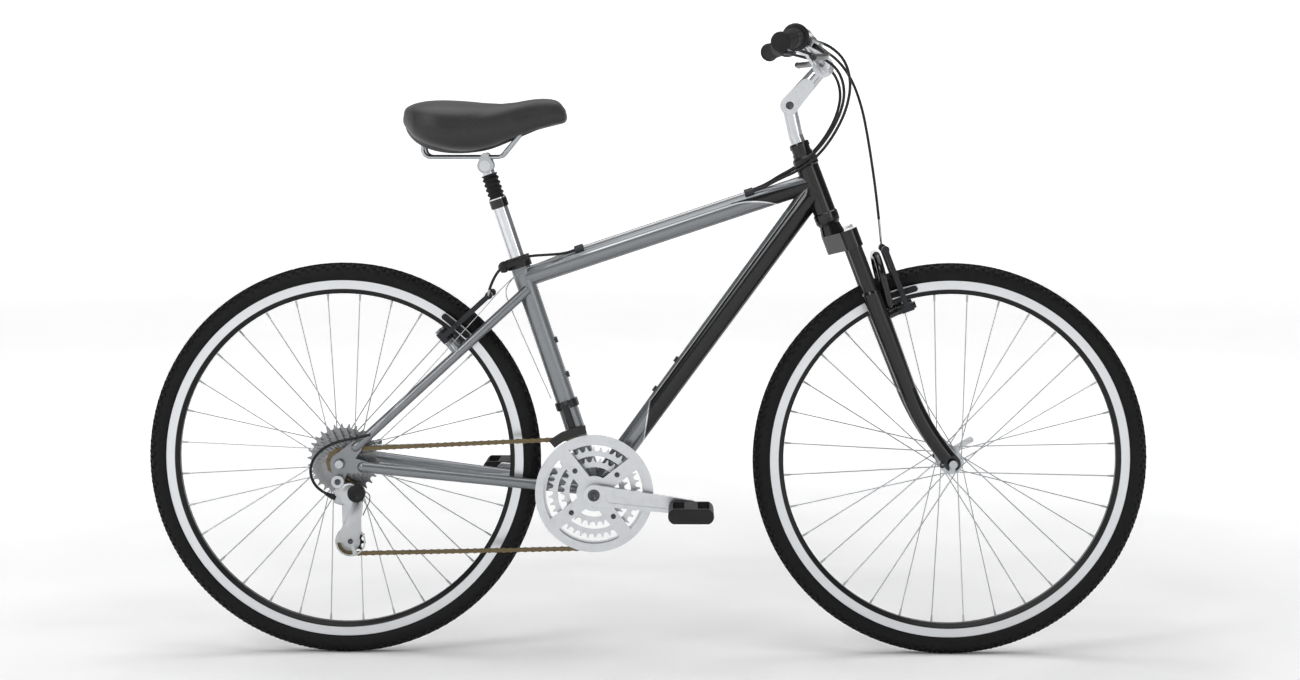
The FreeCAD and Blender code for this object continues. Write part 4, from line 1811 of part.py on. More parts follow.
def boss_places():
    """Surface points and outward directions of the four bottle bosses."""
    down = heading(DOWN_TUBE_ANGLE)
    down_out = heading(DOWN_TUBE_ANGLE + 90)
    places = []
    for step in range(2):
        reach = DOWN_BOSS_AT + step * BOSS_SPACING
        share = reach / (DOWN_TUBE_FRONT - CRANK_CENTRE).Length
        radius = DOWN_TUBE_LOW_RADIUS + (DOWN_TUBE_HIGH_RADIUS - DOWN_TUBE_LOW_RADIUS) * share
        places.append((CRANK_CENTRE + down * reach + down_out * radius, down_out))
        places.append((on_seat(SEAT_BOSS_AT + step * BOSS_SPACING, SEAT_TUBE_RADIUS), SEAT_FORWARD))
    return places


def boss_spaces():
    return [rod(spot - out * BOSS_BORE_DEPTH, spot + out * BOSS_HEIGHT, BOSS_RADIUS)
            for spot, out in boss_places()]


def bottle_bosses():
    """Threaded inserts that stand a little proud of the tubes."""
    bosses = []
    for spot, out in boss_places():
        body = rod(spot - out * BOSS_BORE_DEPTH, spot + out * BOSS_HEIGHT, BOSS_RADIUS)
        bore = rod(spot - out * (BOSS_BORE_DEPTH * 2), spot + out * (BOSS_HEIGHT * 2), BOSS_BORE_RADIUS)
        bosses.append(body.cut([bore,
                                rod(CRANK_CENTRE, on_seat(SEAT_TUBE_LENGTH), POST_RADIUS + RUNNING_FIT)]))
    return Part.makeCompound(bosses)


def cable_stops():
    rows = [-STOP_SPREAD, 0, STOP_SPREAD]
    front = [cable_stop(STOP_FRONT_X, y, True) for y in rows]
    rear = [cable_stop(STOP_REAR_X, y, False) for y in rows]
    return Part.makeCompound(front + rear)


def top_wire(y):
    """Bare wire along the top tube between its two stops."""
    return rod(stop_entry(STOP_FRONT_X, y, True)[1], stop_entry(STOP_REAR_X, y, False)[1], WIRE_RADIUS)


def arm_wire(site):
    """Wire between the two arm tops and the curved guide at its housing side."""
    top = site.pivot + site.up * BRAKE_ARM_LENGTH
    inner = BRAKE_PIVOT_Y - BRAKE_ARM_WIDTH / 2 - BODY_GAP
    return rod(vec(top.x, inner, top.z), vec(top.x, -inner, top.z), WIRE_RADIUS)


def noodle(last, site, side):
    """Curved metal guide from the housing's end to the arm."""
    top = site.pivot + site.up * BRAKE_ARM_LENGTH
    outer = BRAKE_PIVOT_Y + BRAKE_ARM_WIDTH / 2 + BODY_GAP
    end = vec(top.x, side * outer, top.z)
    corner = vec(end.x, last.y, end.z)
    return swept([last, corner, end], NOODLE_RADIUS)


def front_brake_cable():
    last = route(FRONT_BRAKE_HOUSING)[-1]
    site = front_brake_site()
    return Part.makeCompound([cord(FRONT_BRAKE_HOUSING, HOUSING_CABLE_RADIUS), noodle(last, site, 1),
                              arm_wire(site)])


def rear_brake_cable():
    points = route(REAR_BRAKE_HOUSING) + stop_entry(STOP_FRONT_X, -STOP_SPREAD, True)
    tail = stop_entry(STOP_REAR_X, -STOP_SPREAD, False)[::-1] + route(REAR_BRAKE_TAIL)
    site = rear_brake_site()
    return Part.makeCompound([cord(points, HOUSING_CABLE_RADIUS), top_wire(-STOP_SPREAD),
                              cord(tail, HOUSING_CABLE_RADIUS), noodle(tail[-1], site, -1), arm_wire(site)])


def rear_shift_cable():
    points = route(SHIFT_HOUSING_RIGHT) + stop_entry(STOP_FRONT_X, 0, True)
    wire = stop_entry(STOP_REAR_X, 0, False)[::-1] + route(REAR_SHIFT_WIRE)
    return Part.makeCompound([cord(points, HOUSING_CABLE_RADIUS), top_wire(0), cord(wire, WIRE_RADIUS),
                              cord(REAR_SHIFT_TAIL, HOUSING_CABLE_RADIUS)])


def front_shift_cable():
    points = route(SHIFT_HOUSING_LEFT) + stop_entry(STOP_FRONT_X, STOP_SPREAD, True)
    wire = stop_entry(STOP_REAR_X, STOP_SPREAD, False)[::-1] + route(FRONT_SHIFT_WIRE)
    return Part.makeCompound([cord(points, HOUSING_CABLE_RADIUS), top_wire(STOP_SPREAD),
                              cord(wire, WIRE_RADIUS)])


def with_boss_holes(tube):
    return largest(tube.cut(boss_spaces()))


def pieces():
    """Every piece of the bike under the name of its node."""
    front_flanges = (FRONT_FLANGE_Y, FRONT_FLANGE_Y)
    rear_flanges = (REAR_LEFT_FLANGE_Y, REAR_RIGHT_FLANGE_Y)
    front_arm = front_brake_site().assembly()
    rear_arm = rear_brake_site().assembly()
    sleeve = twist_sleeve()
    lever = brake_lever()
    return {
        "head_tube": head_tube(), "top_tube": top_tube(), "down_tube": with_boss_holes(down_tube()),
        "seat_tube": with_boss_holes(seat_tube()),
        "rear_frame": group(bottom_bracket_shell(), chain_stays(), dropouts()), "seat_stays": seat_stays(),
        "frame_fittings": group(bottle_bosses(), cable_stops()),
        "bearing_cups": group(headset_cups(), bottom_bracket_cups()),
        "fork_crown": group(fork_crown(), headset_stack()), "fork_stanchions": fork_stanchions(),
        "fork_lowers": group(fork_lowers(), fork_seals()),
        "front_brake_arm_left": front_arm, "front_brake_arm_right": mirrored(front_arm),
        "rear_brake_arm_left": rear_arm, "rear_brake_arm_right": mirrored(rear_arm),
        "front_tyre": tyre(FRONT_AXLE), "front_rim": rim(FRONT_AXLE),
        "front_spokes": spokes(FRONT_AXLE, front_flanges), "front_hub": front_hub(),
        "front_axle": front_axle(), "front_skewer_lever": front_skewer_lever(),
        "rear_tyre": tyre(REAR_AXLE), "rear_rim": rim(REAR_AXLE),
        "rear_spokes": spokes(REAR_AXLE, rear_flanges), "rear_hub": rear_hub(),
        "rear_axle": rear_axle(), "rear_skewer_lever": rear_skewer_lever(),
        "cassette": cassette(), "chain": chain(), "chainrings": chainrings(),
        "chain_guard": chain_guard_with_posts(), "crank_arm_right": crank_arm_right(),
        "crank_arm_left": crank_arm_left(), "crank_spindles": group(bottom_bracket_spindle(), pedal_axles()),
        "pedal_right": pedal_right(), "pedal_left": pedal_left(),
        "front_derailleur": front_derailleur(), "rear_derailleur_body": rear_derailleur_body(),
        "derailleur_cage": derailleur_cage(), "guide_pulley": jockey_pulley(GUIDE_CENTRE, GUIDE_WHEEL),
        "tension_pulley": jockey_pulley(TENSION_CENTRE, TENSION_WHEEL),
        "seatpost_lower": seatpost_lower(), "seatpost_upper": seatpost_upper(),
        "seatpost_boot": seatpost_boot(),
        "saddle_rails": group(saddle_rails(), saddle_clamp()), "saddle_base": saddle_base(),
        "saddle_cushion": saddle_cushion(), "seat_clamp": seat_clamp(),
        "seat_clamp_lever": seat_clamp_lever(),
        "stem_quill": stem_quill(), "stem_arm": group(stem_arm(), stem_faceplate()), "handlebar": handlebar(),
        "grips": group(grips(), shifter_housings()), "twist_sleeve_left": sleeve,
        "twist_sleeve_right": mirrored(sleeve), "lever_brackets": lever_brackets(),
        "brake_lever_left": lever, "brake_lever_right": mirrored(lever),
        "brake_cables": group(front_brake_cable(), rear_brake_cable()),
        "shift_cables": group(rear_shift_cable(), front_shift_cable()),
    }


def main():
    os.makedirs("parts", exist_ok=True)
    for name, shape in pieces().items():
        shape.exportStep("parts/" + name + ".step")


main()
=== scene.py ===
import math

import bmesh
import bpy
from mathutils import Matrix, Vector


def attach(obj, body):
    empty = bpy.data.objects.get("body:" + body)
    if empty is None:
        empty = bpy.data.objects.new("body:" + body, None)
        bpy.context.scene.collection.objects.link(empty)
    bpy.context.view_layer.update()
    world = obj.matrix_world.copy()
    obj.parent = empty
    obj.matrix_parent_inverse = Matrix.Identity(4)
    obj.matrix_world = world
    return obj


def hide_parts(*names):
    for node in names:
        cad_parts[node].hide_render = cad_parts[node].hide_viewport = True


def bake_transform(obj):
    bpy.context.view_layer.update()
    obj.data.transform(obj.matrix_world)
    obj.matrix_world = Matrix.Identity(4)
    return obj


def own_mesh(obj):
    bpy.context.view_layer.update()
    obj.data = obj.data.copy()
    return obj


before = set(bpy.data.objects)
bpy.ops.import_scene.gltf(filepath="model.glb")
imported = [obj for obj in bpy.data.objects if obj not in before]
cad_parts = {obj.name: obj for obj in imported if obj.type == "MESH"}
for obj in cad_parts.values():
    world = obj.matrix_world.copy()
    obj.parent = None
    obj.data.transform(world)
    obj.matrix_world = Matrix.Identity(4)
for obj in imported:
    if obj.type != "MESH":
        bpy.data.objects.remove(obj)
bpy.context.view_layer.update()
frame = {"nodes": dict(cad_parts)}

bl_info = {
    "name": "Hybrid bike",
    "version": (1, 0, 0),
    "blender": (4, 5, 0),
    "location": "3D View > Sidebar > Hybrid bike",
    "description": "Dresses the hybrid bike with its finishes, soft parts, tyres and cables",
    "category": "Object",
}

MM = 0.001
CRANK = Vector((-0.0905, 0, 0.293))
AXLES = {"front": Vector((0.5325, 0, 0.346)), "rear": Vector((-0.5325, 0, 0.346))}
DOWN_TUBE_TURN = math.radians(53.9)
TOP_TUBE_TURN = math.radians(18.4)
TOP_TUBE_FOOT = Vector((-0.21504, 0, 0.66522))
SEAT_TURN = math.radians(108.5)
SEAT_WAY = Vector((math.cos(SEAT_TURN), 0, math.sin(SEAT_TURN)))
BAR_END = Vector((0.222041, 0.3, 1.066773))
GRIP_IN = Vector((0.244895, -0.964738, 0.096474))
LEVER_WAY = Vector((0.861499, 0.170874, -0.478144))
FORWARD = Vector((1, 0, 0))


def length(label, description, metres):
    return bpy.props.FloatProperty(name=label, description=description, default=metres, unit="LENGTH")


def count(label, description, number):
    return bpy.props.IntProperty(name=label, description=description, default=number)


def colour(label, description, code):
    return bpy.props.StringProperty(name=label, description="sRGB hex of " + description, default=code)


class BikeSizes(bpy.types.PropertyGroup):
    tyre_width: length("Tyre width", "Width of the inflated tyre", 0.035)
    tyre_radius: length("Tyre radius", "Radius over the tread", 0.346)
    tread_height: length("Tread height", "Height of the tread blocks", 0.0012)
    tread_count: count("Tread blocks", "Blocks in one row of the tread", 120)
    cable_radius: length("Cable radius", "Radius of the cable housing", 0.0025)
    wire_radius: length("Wire radius", "Radius of the bare inner wire", 0.0008)
    grip_radius: length("Grip radius", "Radius of the rubber grips", 0.0152)
    boot_folds: count("Boot folds", "Folds of the seatpost boot", 5)


class BikeColours(bpy.types.PropertyGroup):
    frame: colour("Frame", "the frame lacquer", "#7F8285")
    panel: colour("Panel", "the dark panels", "#050506")
    stripe: colour("Stripe", "the pinstripes", "#E4E6E8")
    saddle: colour("Saddle", "the saddle cover", "#19191B")
    floor: colour("Floor", "the studio floor", "#F7F7F8")


def linear(code):
    """Linear colour of an sRGB hex code."""
    parts = [int(code[i:i + 2], 16) / 255 for i in (1, 3, 5)]
    return [p / 12.92 if p <= 0.04045 else ((p + 0.055) / 1.055) ** 2.4 for p in parts] + [1.0]


def feed(tree, node, inputs):
    """Links the inputs of a node that are sockets, and sets the others."""
    for key, value in inputs.items():
        socket = node.inputs[key]
        if isinstance(value, bpy.types.NodeSocket):
            tree.links.new(value, socket)
        else:
            socket.default_value = value


def add(tree, kind, inputs=(), **settings):
    """One node with its settings and inputs."""
    made = tree.nodes.new(kind)
    for name, value in settings.items():
        setattr(made, name, value)
    feed(tree, made, dict(inputs))
    return made


def surface(name):
    """New material with its tree and its object coordinates."""
    material = bpy.data.materials.new(name)
    material.use_nodes = True
    return material, material.node_tree, add(material.node_tree, "ShaderNodeTexCoord").outputs["Object"]


def finished(material, **values):
    """A material whose shader inputs are given by name, with underscores for spaces."""
    shader = material.node_tree.nodes["Principled BSDF"]
    feed(material.node_tree, shader, {name.replace("_", " "): value for name, value in values.items()})
    return material


def grain(tree, place, size_mm, detail=2.0):
    """Noise whose grains are about the given size in millimetres."""
    inputs = {"Vector": place, "Scale": 1 / (size_mm * MM), "Detail": detail}
    return add(tree, "ShaderNodeTexNoise", inputs).outputs["Fac"]


def cells(tree, place, size_mm, feature="F1"):
    """Distances in a pattern of cells of about the given size in millimetres."""
    inputs = {"Vector": place, "Scale": 1 / (size_mm * MM)}
    return add(tree, "ShaderNodeTexVoronoi", inputs, feature=feature).outputs["Distance"]


def spread(tree, value, low, high):
    """A value from 0 to 1, spread over another range."""
    inputs = {"Value": value, "To Min": low, "To Max": high}
    return add(tree, "ShaderNodeMapRange", inputs).outputs["Result"]


def ramp(tree, fac, low, high, start=0.35, end=0.65):
    """Blend of two colours over part of a factor's range."""
    made = add(tree, "ShaderNodeValToRGB", {"Fac": fac})
    made.color_ramp.elements[0].position = start
    made.color_ramp.elements[0].color = low
    made.color_ramp.elements[1].position = end
    made.color_ramp.elements[1].color = high
    return made.outputs["Color"]


def bump(tree, height, depth_mm, strength):
    return add(tree, "ShaderNodeBump", {"Height": height, "Distance": depth_mm * MM,
                                        "Strength": strength}).outputs["Normal"]


def math_node(tree, operation, first, second=0.0):
    return add(tree, "ShaderNodeMath", {0: first, 1: second}, operation=operation).outputs["Value"]


def times(tree, first, second):
    return math_node(tree, "MULTIPLY", first, second)


def plus(tree, first, second):
    return math_node(tree, "ADD", first, second)


def less(tree, first, second):
    return math_node(tree, "SUBTRACT", first, second)


def inverse(tree, share):
    return less(tree, 1.0, share)


def vector_node(tree, operation, first, second=(0, 0, 0), output="Vector"):
    return add(tree, "ShaderNodeVectorMath", {0: first, 1: second}, operation=operation).outputs[output]


def along(tree, place, origin, direction):
    """Distance of a point from an origin along a direction, in metres."""
    return vector_node(tree, "DOT_PRODUCT", vector_node(tree, "SUBTRACT", place, origin), direction, "Value")


def tube_axes(tree, place, foot, turn):
    """Distances of a point along and across a tube that leans in the middle plane."""
    far = along(tree, place, foot, (math.cos(turn), 0, math.sin(turn)))
    high = along(tree, place, foot, (-math.sin(turn), 0, math.cos(turn)))
    return far, high


def step(tree, value, edge, soft=0.0004):
    """1 where a value is above an edge, with a soft step."""
    inputs = {"Value": value, "From Min": edge - soft, "From Max": edge + soft}
    return add(tree, "ShaderNodeMapRange", inputs, interpolation_type="SMOOTHSTEP").outputs["Result"]


def mix(tree, fac, first, second):
    return add(tree, "ShaderNodeMix", {0: fac, 6: first, 7: second}, data_type="RGBA").outputs[2]


FLAKE_MM = 1.5
PANEL_START = 0.158
PANEL_LEAN = 1.9
PANEL_TOP = 0.0145
STRIPE_GAP = 0.004
STRIPE_HALF = 0.0016
EDGE_STRIPE_HALF = 0.0007
WEDGE_START = 0.385
WEDGE_FALL = 4.2
WEDGE_SLOPE = 0.05
WEDGE_TOP = 0.0105
WEDGE_FOOT = 0.0075
SWEEP_TOP = 0.0070
SWEEP_HALF = 0.0012
SWEEP_START = 0.12
BRAKE_TRACK = 0.3005
TREAD_EDGE = 0.336
PAD_PLANE = 0.0235
COLLAR_FOOT = 0.5225
COLLAR_TOP = 0.5380


def scaled(shade, share):
    """A colour made lighter or darker by a share."""
    return [c * share for c in shade[:3]] + [1]


def flake_lacquer(tree, place, code):
    """Colour of metallic lacquer: fine aluminium flakes, drawn at 1.5 mm so that they show."""
    shade = linear(code)
    return mix(tree, cells(tree, place, FLAKE_MM), scaled(shade, 1.12), scaled(shade, 0.9))


def silver_lacquer(colours):
    """Satin metallic lacquer over aluminium tubes: a soft sheen with a fine sparkle under a clear coat."""
    material, tree, place = surface("SatinSilverLacquer")
    return finished(
        material, Base_Color=flake_lacquer(tree, place, colours.frame), Metallic=0.75,
        Roughness=spread(tree, grain(tree, place, 4), 0.3, 0.4), Coat_Weight=0.5, Coat_Roughness=0.12)


def panel_lacquer(name, colours, mask_maker, rough):
    """Two-tone lacquer: gloss black beside metallic silver, parted by a fine pinstripe."""
    material, tree, place = surface(name)
    black, stripe = mask_maker(tree, place)
    silver = flake_lacquer(tree, place, colours.frame)
    painted = mix(tree, black, silver, linear(colours.panel))
    return finished(
        material, Base_Color=mix(tree, stripe, painted, linear(colours.stripe)),
        Metallic=times(tree, inverse(tree, black), 0.75),
        Roughness=spread(tree, grain(tree, place, 3), rough - 0.04, rough + 0.04), Specular_IOR_Level=0.3,
        Coat_Weight=0.35, Coat_Roughness=0.06)


def down_tube_masks(tree, place):
    """Black lower part with a silver strip along the top edge, ended by a leaning pinstripe."""
    far, high = tube_axes(tree, place, CRANK, DOWN_TUBE_TURN)
    edge = less(tree, less(tree, far, times(tree, high, PANEL_LEAN)), PANEL_START)
    top = less(tree, PANEL_TOP, high)
    black = step(tree, math_node(tree, "MINIMUM", edge, top), 0.0)
    line = math_node(tree, "ABSOLUTE", plus(tree, edge, STRIPE_GAP))
    near = times(tree, inverse(tree, step(tree, line, STRIPE_HALF)), step(tree, top, -0.002))
    strip = inverse(tree, step(tree, math_node(tree, "ABSOLUTE", top), EDGE_STRIPE_HALF))
    thin = times(tree, strip, step(tree, edge, 0.0))
    return black, math_node(tree, "MAXIMUM", near, times(tree, thin, 0.6))


def top_tube_masks(tree, place):
    """Black wedge that grows towards the head tube, and a pale pinstripe that curves under it."""
    far, high = tube_axes(tree, place, TOP_TUBE_FOOT, TOP_TUBE_TURN)
    run = less(tree, far, WEDGE_START)
    square = math_node(tree, "POWER", math_node(tree, "MAXIMUM", run, 0.0), 2.0)
    fall = times(tree, square, WEDGE_FALL)
    upper = less(tree, WEDGE_TOP, times(tree, run, WEDGE_SLOPE))
    lower = less(tree, WEDGE_FOOT, fall)
    wedge = math_node(tree, "MINIMUM", less(tree, upper, high), less(tree, high, lower))
    black = times(tree, step(tree, wedge, 0.0), step(tree, run, 0.0))
    line = math_node(tree, "ABSOLUTE", less(tree, high, less(tree, SWEEP_TOP, fall)))
    shown = times(tree, step(tree, far, SWEEP_START, 0.02), inverse(tree, step(tree, line, SWEEP_HALF)))
    return black, shown


def gloss_black(name, code, rough, coat=0.35):
    """Black lacquer over alloy: deep colour with a clear coat and slight orange peel of about 3 mm."""
    material, tree, place = surface(name)
    peel = grain(tree, place, 3)
    shade = linear(code)
    tone = ramp(tree, grain(tree, place, 25), scaled(shade, 0.85), scaled(shade, 1.15))
    return finished(
        material, Base_Color=tone, Roughness=spread(tree, peel, rough - 0.04, rough + 0.05),
        Normal=bump(tree, peel, 0.02, 0.3), Specular_IOR_Level=0.3, Coat_Weight=coat, Coat_Roughness=0.05)


def bare_metal(name, code, rough, size_mm=0.8, dirt="#5B564E"):
    """Bare or plated metal: fine polishing marks, and a little dull film in patches of some 15 mm."""
    material, tree, place = surface(name)
    marks = grain(tree, place, size_mm, 4.0)
    film = grain(tree, place, 15, 3.0)
    shade = linear(code)
    dull = [s * 0.88 + d * 0.12 for s, d in zip(shade, linear(dirt))]
    return finished(
        material, Base_Color=ramp(tree, film, shade, dull, 0.5, 0.8), Metallic=1.0,
        Roughness=spread(tree, marks, rough - 0.06, rough + 0.08), Normal=bump(tree, marks, 0.01, 0.25))


def moulded(name, code, rough, size_mm, depth_mm):
    """Moulded rubber or plastic with the fine pebble of its mould."""
    material, tree, place = surface(name)
    worn = grain(tree, place, 18, 3.0)
    shade = linear(code)
    pale = [c * 1.5 + 0.002 for c in shade[:3]] + [1]
    return finished(
        material, Base_Color=ramp(tree, worn, shade, pale, 0.4, 0.8),
        Roughness=spread(tree, worn, rough - 0.06, rough + 0.08),
        Normal=bump(tree, cells(tree, place, size_mm), depth_mm, 0.5), Specular_IOR_Level=0.3)


def saddle_vinyl(colours):
    """Coated vinyl over foam: leather grain of about 1.2 mm and a dull sheen, paler where it is worn."""
    material, tree, place = surface("GrainedVinyl")
    folds = grain(tree, place, 6, 4.0)
    height = plus(tree, cells(tree, place, 1.2, "DISTANCE_TO_EDGE"), times(tree, folds, 0.3))
    shade = linear(colours.saddle)
    tone = ramp(tree, folds, scaled(shade, 0.8), scaled(shade, 1.25))
    return finished(
        material, Base_Color=tone, Roughness=0.5, Normal=bump(tree, height, 0.12, 0.45), Sheen_Weight=0.15)


def wheel_radius(tree, place, side):
    """Distance of a point from a wheel's axle line."""
    gap = vector_node(tree, "SUBTRACT", place, AXLES[side])
    flat = vector_node(tree, "MULTIPLY", gap, (1, 0, 1))
    return vector_node(tree, "LENGTH", flat, output="Value")


def turned_rings(tree, radius, pitch_mm):
    """Waves round an axle, with their pitch in millimetres."""
    return math_node(tree, "SINE", times(tree, radius, 2 * math.pi / (pitch_mm * MM)))


def rim_alloy(side):
    """Extruded rim: turned bright brake track, black anodised inside it, with lathe rings of 0.6 mm."""
    material, tree, place = surface("TurnedRimAlloy_" + side)
    radius = wheel_radius(tree, place, side)
    track = step(tree, radius, BRAKE_TRACK)
    worn = grain(tree, place, 12)
    rough = plus(tree, times(tree, track, -0.06), times(tree, worn, 0.14))
    return finished(
        material, Base_Color=mix(tree, track, linear("#101012"), linear("#D5D7D9")),
        Metallic=plus(tree, times(tree, track, 0.7), 0.3), Roughness=plus(tree, rough, 0.3),
        Normal=bump(tree, times(tree, turned_rings(tree, radius, 0.6), track), 0.01, 0.2))


def tyre_rubber(side):
    """Black tyre rubber: matte tread, and a side wall with fine moulded rings of 1.6 mm."""
    material, tree, place = surface("TyreRubber_" + side)
    radius = wheel_radius(tree, place, side)
    wall = inverse(tree, step(tree, radius, TREAD_EDGE, 0.003))
    dust = grain(tree, place, 10, 4.0)
    height = plus(tree, times(tree, turned_rings(tree, radius, 1.6), wall), times(tree, dust, 0.6))
    return finished(
        material, Base_Color=ramp(tree, dust, linear("#060607"), linear("#111112"), 0.35, 0.75),
        Roughness=plus(tree, times(tree, dust, 0.2), 0.5), Normal=bump(tree, height, 0.12, 0.4),
        Specular_IOR_Level=0.22)


def brake_arm_alloy():
    """Cast brake arm in grey lacquer, with its black rubber pad within 23.5 mm of the middle plane."""
    material, tree, place = surface("CastBrakeArm")
    side = math_node(tree, "ABSOLUTE", add(tree, "ShaderNodeSeparateXYZ", {"Vector": place}).outputs["Y"])
    pad = inverse(tree, step(tree, side, PAD_PLANE))
    return finished(
        material, Base_Color=mix(tree, pad, linear("#2A2B2E"), linear("#121213")),
        Metallic=times(tree, inverse(tree, pad), 0.6), Roughness=plus(tree, times(tree, pad, 0.35), 0.38),
        Normal=bump(tree, grain(tree, place, 0.8), 0.03, 0.3))


def post_alloy():
    """Polished seatpost tube; its collar is black plastic below a thin bright ring."""
    material = bare_metal("PolishedPost", "#CFD1D4", 0.14)
    tree = material.node_tree
    tone = tree.nodes["Principled BSDF"].inputs["Base Color"].links[0].from_socket
    far = along(tree, add(tree, "ShaderNodeTexCoord").outputs["Object"], CRANK, SEAT_WAY)
    collar = times(tree, step(tree, far, COLLAR_FOOT), inverse(tree, step(tree, far, COLLAR_TOP)))
    return finished(
        material, Base_Color=mix(tree, collar, tone, linear("#0D0D0E")), Metallic=inverse(tree, collar))


def finishes(colours):
    """Every finish of the bike with the CAD nodes that it is for."""
    return (
        (silver_lacquer(colours), ("seat_tube", "rear_frame", "seat_stays")),
        (panel_lacquer("TopTubeTwoTone", colours, top_tube_masks, 0.3), ("top_tube",)),
        (panel_lacquer("DownTubeTwoTone", colours, down_tube_masks, 0.22), ("down_tube",)),
        (gloss_black("GlossBlackLacquer", colours.panel, 0.16), ("head_tube", "fork_crown", "fork_lowers")),
        (gloss_black("BlackAnodised", "#161618", 0.34, 0.2),
         ("fork_stanchions", "bearing_cups", "seat_clamp", "seat_clamp_lever", "front_derailleur")),
        (gloss_black("DarkFittings", "#26272A", 0.4, 0.1), ("frame_fittings",)),
        (post_alloy(), ("seatpost_lower",)),
        (bare_metal("PolishedAlloy", "#C4C6C9", 0.2, 0.8),
         ("seatpost_upper", "stem_quill", "stem_arm", "handlebar", "crank_arm_right", "crank_arm_left",
          "lever_brackets", "front_skewer_lever", "rear_skewer_lever")),
        (bare_metal("BrushedGuardAlloy", "#C9CBCE", 0.3, 0.7), ("chain_guard", "chainrings")),
        (bare_metal("SatinAlloy", "#B9BCBF", 0.32, 0.8),
         ("front_hub", "rear_hub", "rear_derailleur_body", "derailleur_cage")),
        (bare_metal("ZincSteel", "#B0B3B6", 0.28, 0.6),
         ("front_spokes", "rear_spokes", "front_axle", "rear_axle", "crank_spindles", "saddle_rails")),
        (bare_metal("NickelSteel", "#8E9092", 0.35, 0.6), ("cassette",)),
        (bare_metal("OiledChainSteel", "#6B5F49", 0.36, 0.8, dirt="#2A2018"), ("chain",)),
        (brake_arm_alloy(),
         ("front_brake_arm_left", "front_brake_arm_right", "rear_brake_arm_left", "rear_brake_arm_right")),
        (moulded("PebbledNylon", "#141415", 0.5, 1.0, 0.08),
         ("pedal_right", "pedal_left", "guide_pulley", "tension_pulley", "saddle_base")),
        (gloss_black("LeverLacquer", "#1C1D1F", 0.3, 0.3), ("brake_lever_left", "brake_lever_right")),
        (rim_alloy("front"), ("front_rim",)),
        (rim_alloy("rear"), ("rear_rim",)),
    )


def give(obj, material):
    obj.data.materials.clear()
    obj.data.materials.append(material)


def placed(name, data):
    """New object of the scene, at the origin."""
    made = bpy.data.objects.new(name, data)
    bpy.context.scene.collection.objects.link(made)
    return made


def baked(holder):
    """Plain mesh that an object's curve or modifiers make; the object is removed."""
    mesh = bpy.data.meshes.new_from_object(holder.evaluated_get(bpy.context.evaluated_depsgraph_get()))
    bpy.data.objects.remove(holder)
    return mesh


def solid_mesh(name, bm):
    """Mesh of a bmesh with its faces turned outwards."""
    mesh = bpy.data.meshes.new(name)
    bmesh.ops.recalc_face_normals(bm, faces=bm.faces)
    bm.to_mesh(mesh)
    bm.free()
    return mesh


def piece(name, shape, material, body, replaced=()):
    """Object at the origin that rides on a body and stands for CAD nodes."""
    mesh = solid_mesh(name, shape) if isinstance(shape, bmesh.types.BMesh) else shape
    for polygon in mesh.polygons:
        polygon.use_smooth = True
    obj = placed(name, mesh)
    give(obj, material)
    if body:
        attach(obj, body)
    if replaced:
        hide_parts(*replaced)
    return obj


def skin(bm, rings):
    """Faces between neighbouring rings of points; a ring may be a single point."""
    for low, high in zip(rings, rings[1:]):
        steps = max(len(low), len(high))
        for i in range(steps):
            j = (i + 1) % steps
            corners = (low[i % len(low)], low[j % len(low)], high[j % len(high)], high[i % len(high)])
            bm.faces.new(list(dict.fromkeys(corners)))


def capped_skin(bm, rings):
    """Quads between neighbouring rings, and a face at each end."""
    skin(bm, rings)
    bm.faces.new(rings[0])
    bm.faces.new(list(reversed(rings[-1])))


def revolve(bm, base, axis, profile, steps, hint, wave=None):
    """Rings round an axis, from pairs of distance along it and radius; a radius of zero closes them."""
    across = (hint - axis * hint.dot(axis)).normalized()
    other = axis.cross(across)
    rings = []
    for distance, radius in profile:
        middle = base + axis * distance
        if radius == 0:
            rings.append([bm.verts.new(middle)])
            continue
        ring = []
        for i in range(steps):
            turn = 2 * math.pi * i / steps
            reach = radius * (1 + wave(turn, distance)) if wave else radius
            spot = middle + across * (reach * math.cos(turn))
            ring.append(bm.verts.new(spot + other * (reach * math.sin(turn))))
        rings.append(ring)
    skin(bm, rings)


TREAD_INPUTS = (("Count", "Int"), ("Radius", "Float"), ("Side", "Float"), ("Phase", "Float"),
                ("Lean", "Float"), ("Skew", "Float"), ("Block", "Vector"), ("Centre", "Vector"),
                ("Material", "Material"))


